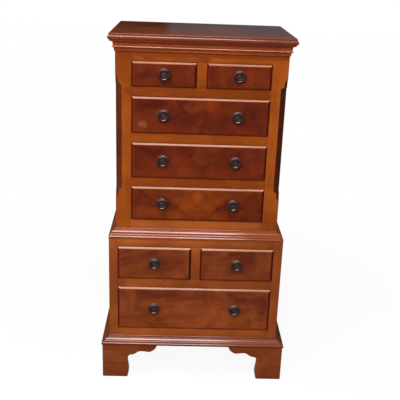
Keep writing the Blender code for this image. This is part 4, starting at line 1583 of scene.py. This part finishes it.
def drawers() -> list[Drawer]:
    """The eight drawers from the top down."""
    first = Figure(
        1.3,
        (
            Patch(-0.6, 0.6, 0.5, 0.5, 0.18),
            Patch(0.0, -0.8, 1.1, 0.4, -0.12),
            Patch(-0.2, 0.4, 0.3, 0.4, 0.12),
            Patch(0.85, 0.3, 0.2, 0.6, 0.08),
        ),
    )
    second = Figure(
        4.1,
        (
            Patch(-0.85, 0.3, 0.3, 0.8, -0.22),
            Patch(0.55, 0.2, 0.3, 0.5, 0.16),
            Patch(-0.3, -0.5, 0.3, 0.5, -0.05),
            Patch(0.9, -0.6, 0.3, 0.4, -0.12),
        ),
    )
    glowing = Figure(
        2.2,
        (
            Patch(0.04, 0.75, 0.24, 0.45, 0.34),
            Patch(0.0, -0.2, 0.6, 0.5, -0.24),
            Patch(-0.45, 0.5, 0.25, 0.6, -0.28),
            Patch(-0.9, -0.5, 0.25, 0.6, 0.14),
            Patch(-0.8, 0.6, 0.25, 0.5, -0.10),
            Patch(0.45, 0.5, 0.3, 0.5, -0.16),
            Patch(0.85, 0.0, 0.3, 1.2, -0.12),
        ),
        scratch_glint=(-0.84, -0.50),
    )
    clouded = Figure(
        7.9,
        (
            Patch(-0.1, 0.7, 0.9, 0.5, -0.22),
            Patch(-0.9, 0.3, 0.22, 0.9, -0.26),
            Patch(0.3, 0.0, 0.5, 0.6, -0.12),
            Patch(0.0, -0.7, 0.9, 0.35, 0.14),
            Patch(-0.35, -0.5, 0.2, 0.6, 0.12),
        ),
    )
    matched = Figure(
        5.4,
        (
            Patch(-0.19, -0.25, 0.13, 1.1, 0.36, 0.20),
            Patch(0.17, -0.25, 0.11, 1.1, 0.26, -0.20),
            Patch(0.0, 0.7, 0.22, 0.6, 0.22),
            Patch(0.0, -0.1, 0.30, 0.9, 0.10),
            Patch(-0.62, -0.8, 0.35, 0.35, 0.04),
            Patch(-0.75, 0.4, 0.45, 0.7, -0.34),
            Patch(0.75, 0.1, 0.40, 1.2, -0.34),
        ),
        fold=True,
    )
    swept = Figure(
        9.2,
        (
            Patch(0.75, -0.5, 0.4, 0.6, 0.22, 0.8),
            Patch(-0.5, 0.5, 0.7, 0.5, -0.18, 0.5),
            Patch(0.05, 0.1, 0.4, 1.0, -0.26),
            Patch(-0.7, -0.2, 0.3, 0.8, -0.10),
        ),
        0.4,
        0.25,
    )
    sweeping = Figure(
        3.7,
        (
            Patch(-0.8, -0.2, 0.3, 0.8, 0.0),
            Patch(0.0, 0.0, 0.5, 1.1, -0.42),
            Patch(0.5, 0.6, 0.5, 0.5, -0.16),
            Patch(-0.7, 0.8, 0.4, 0.3, -0.16),
            Patch(0.85, -0.7, 0.3, 0.4, 0.14),
        ),
        0.4,
        0.2,
    )
    quilted = Figure(
        6.6,
        (
            Patch(0.05, -0.3, 0.42, 0.8, 0.48),
            Patch(-0.9, -0.1, 0.18, 0.9, 0.12),
            Patch(-0.5, 0.75, 0.4, 0.4, -0.24),
            Patch(0.65, 0.5, 0.35, 0.5, -0.10),
            Patch(0.95, 0.3, 0.12, 0.8, -0.12),
            Patch(0.7, -0.6, 0.4, 0.4, 0.14),
        ),
        0.45,
        0.1,
    )
    return [
        Drawer("top_left", UPPER, LEVEL.top_floor, LEVEL.top_ceiling, -1, first, RED),
        Drawer("top_right", UPPER, LEVEL.top_floor, LEVEL.top_ceiling, 1, second, RED),
        Drawer("second", UPPER, LEVEL.second_floor, LEVEL.second_ceiling, 0, glowing, RED),
        Drawer("third", UPPER, LEVEL.third_floor, LEVEL.third_ceiling, 0, clouded, RED),
        Drawer("fourth", UPPER, LEVEL.fourth_floor, LEVEL.fourth_ceiling, 0, matched, ORANGE),
        Drawer("lower_left", LOWER, LEVEL.small_floor, LEVEL.small_ceiling, -1, swept, BROWN),
        Drawer("lower_right", LOWER, LEVEL.small_floor, LEVEL.small_ceiling, 1, sweeping, BROWN),
        Drawer("bottom", LOWER, LEVEL.bottom_floor, LEVEL.bottom_ceiling, 0, quilted, BROWN),
    ]


# ---- Studio ----


@dataclass(frozen=True)
class Studio:
    """Camera, floor, world and lamps."""

    eye: tuple[float, float, float] = (-0.05439, -2.14670, 1.31565)
    pitch: float = 0.341078
    yaw: float = -0.031197
    roll: float = 0.037066
    lens: float = 61.5576
    sensor: float = 36.0

    def build(self) -> None:
        """Sets up the studio."""
        self._camera()
        self._floor()
        self._world()
        self._lamp("overhead", (-0.22, -1.75, 2.7), (-0.22, -1.75, 0.0), (1.15, 3.0), 90.0)
        self._lamp("front_left", (-2.1, -2.3, 1.7), (0.0, 0.0, 0.7), (0.8, 0.8), 30.0)

    def _camera(self) -> None:
        """The camera, at the photograph's viewing angle."""
        right = Vector((math.cos(self.yaw), math.sin(self.yaw), 0))
        level = Vector((-math.sin(self.yaw), math.cos(self.yaw), 0))
        forward = level * math.cos(self.pitch) - Vector((0, 0, math.sin(self.pitch)))
        up = level * math.sin(self.pitch) + Vector((0, 0, math.cos(self.pitch)))
        across = right * math.cos(self.roll) + up * math.sin(self.roll)
        above = up * math.cos(self.roll) - right * math.sin(self.roll)
        data = bpy.data.cameras.new("camera")
        data.lens = self.lens
        data.sensor_width = self.sensor
        camera = bpy.data.objects.new("camera", data)
        turn = Matrix((across, above, -forward)).transposed().to_4x4()
        camera.matrix_world = Matrix.Translation(self.eye) @ turn
        bpy.context.scene.collection.objects.link(camera)
        bpy.context.scene.camera = camera

    def _floor(self) -> None:
        """A pale floor that keeps a soft shadow and shows white."""
        solid = Solid()
        reach = 12.0
        corners = [(-reach, -reach, 0), (reach, -reach, 0), (reach, reach, 0), (-reach, reach, 0)]
        solid.form.faces.new([solid.form.verts.new(corner) for corner in corners])
        mesh = bpy.data.meshes.new("floor")
        solid.form.to_mesh(mesh)
        solid.form.free()
        floor = bpy.data.objects.new("floor", mesh)
        bpy.context.scene.collection.objects.link(floor)
        material = bpy.data.materials.new("pale_floor")
        material.use_nodes = True
        bench = Bench(material.node_tree)
        seen = bench.add("ShaderNodeLightPath", None, None, "Is Camera Ray")
        mirrored = bench.add("ShaderNodeLightPath", None, None, "Is Glossy Ray")
        through = bench.add("ShaderNodeLightPath", None, None, "Is Transmission Ray")
        colour = bench.blend(seen, (0.42, 0.41, 0.40), (0.92, 0.92, 0.92))
        matt = bench.add("ShaderNodeBsdfDiffuse", None, {"Color": colour})
        white = bench.add("ShaderNodeEmission", None, {"Color": (1.0, 1.0, 1.0), "Strength": 1.0})
        far = bench.add("ShaderNodeVectorMath", {"operation": "LENGTH"}, {0: bench.coordinates()[0]}, 1)
        share = (seen + mirrored + through) * (far.ramp(0.6, 1.9) * 0.065 + 0.93)
        bench.close(bench.add("ShaderNodeMixShader", None, {0: share, 1: matt, 2: white}))
        mesh.materials.append(material)

    def _world(self) -> None:
        """A soft grey studio that the camera sees as white."""
        world = bpy.data.worlds.new("studio")
        world.use_nodes = True
        bpy.context.scene.world = world
        tree = world.node_tree
        bench = Bench(tree)
        place = bench.add("ShaderNodeTexCoord", None, None, "Generated")
        height = bench.add("ShaderNodeSeparateXYZ", None, {0: place}, 2)
        seen = bench.add("ShaderNodeLightPath", None, None, "Is Camera Ray")
        mirrored = bench.add("ShaderNodeLightPath", None, None, "Is Glossy Ray")
        through = bench.add("ShaderNodeLightPath", None, None, "Is Transmission Ray")
        below = 1 - height.ramp(-0.02, -0.001)
        share = bench.add("ShaderNodeClamp", None, {0: seen + (mirrored + through) * below})
        deep = bench.add("ShaderNodeSeparateXYZ", None, {0: place}, 1)
        across = bench.add("ShaderNodeSeparateXYZ", None, {0: place}, 0)
        lit = (height * 0.75 - deep * 0.65 - across * 0.35).ramp(-0.1, 1.0)
        glow = bench.blend(lit, (0.004, 0.004, 0.005), (0.56, 0.55, 0.54))
        wall = across.ramp(-0.04, -0.02) * (0.8 + across * 1.2) * deep.ramp(0.5, 0.9)
        glow = bench.blend(wall, glow, (0.055, 0.095, 0.125))
        colour = bench.blend(share, glow, (1.0, 1.0, 1.0))
        shader = bench.add("ShaderNodeBackground", None, {"Color": colour, "Strength": 1.0})
        tree.links.new(shader.socket, tree.nodes.new("ShaderNodeOutputWorld").inputs[0])

    def _lamp(self, name: str, at: Sequence[float], aim: Sequence[float], size: Point2, power: float) -> None:
        """A soft rectangular lamp.

        Args:
            name: Its name.
            at: Where it hangs.
            aim: What it points at.
            size: Its width and height.
            power: Its power in watts.
        """
        data = bpy.data.lights.new(name, "AREA")
        data.shape = "RECTANGLE"
        data.size, data.size_y = size
        data.energy = power
        lamp = bpy.data.objects.new(name, data)
        lamp.location = at
        lamp.rotation_euler = (Vector(aim) - Vector(at)).to_track_quat("-Z", "Y").to_euler()
        bpy.context.scene.collection.objects.link(lamp)


def build_case() -> None:
    """Makes both cases from the feet up."""
    mouldings = Mouldings()
    for front in (True, False):
        for hand in (-1, 1):
            Foot(hand, front).build()
    Base().build(mouldings)
    for word, hand in (("left", -1), ("right", 1)):
        Side(LOWER, hand, f"lower_{word}", LEVEL.base + FIT, LEVEL.lower_top - FIT).build()
        Side(UPPER, hand, f"upper_{word}", LEVEL.lower_top + FIT, LEVEL.upper_top - FIT, cant=0.019).build()
    Divider("lower_divider", LOWER, LEVEL.bottom_ceiling, LEVEL.small_floor, True).build()
    Divider("upper_bottom_board", UPPER, LEVEL.lower_top + FIT, LEVEL.fourth_floor, finish=Finish.LOWER_RAIL).build()
    Divider("upper_divider_3", UPPER, LEVEL.fourth_ceiling, LEVEL.third_floor).build()
    Divider("upper_divider_2", UPPER, LEVEL.third_ceiling, LEVEL.second_floor).build()
    Divider("upper_divider_1", UPPER, LEVEL.second_ceiling, LEVEL.top_floor, True).build()
    top = LEVEL.lower_top - FIT
    TopFrame("lower_top_board", LOWER, LEVEL.small_ceiling, top, LEVEL.small_floor, 0.018).build()
    top = LEVEL.upper_top - FIT
    TopFrame("upper_top_rail", UPPER, LEVEL.top_ceiling, top, LEVEL.top_floor, 0.010).build()
    mouldings.build()
    dress_node("back_panel", Finish.BACK)


def main() -> None:
    """Builds the studio, the cases and the drawers."""
    logging.basicConfig(level=logging.INFO, format="%(message)s")
    bpy.context.scene.view_settings.view_transform = "Standard"
    Studio().build()
    build_case()
    shape = PullShape(seat=-0.0008)
    plate, ring = shape.plate(), shape.ring()
    for drawer in drawers():
        drawer.build_front()
        drawer.build_pulls(plate, ring, shape)
        drawer.dress_box()


if __name__ == "__main__":
    main()
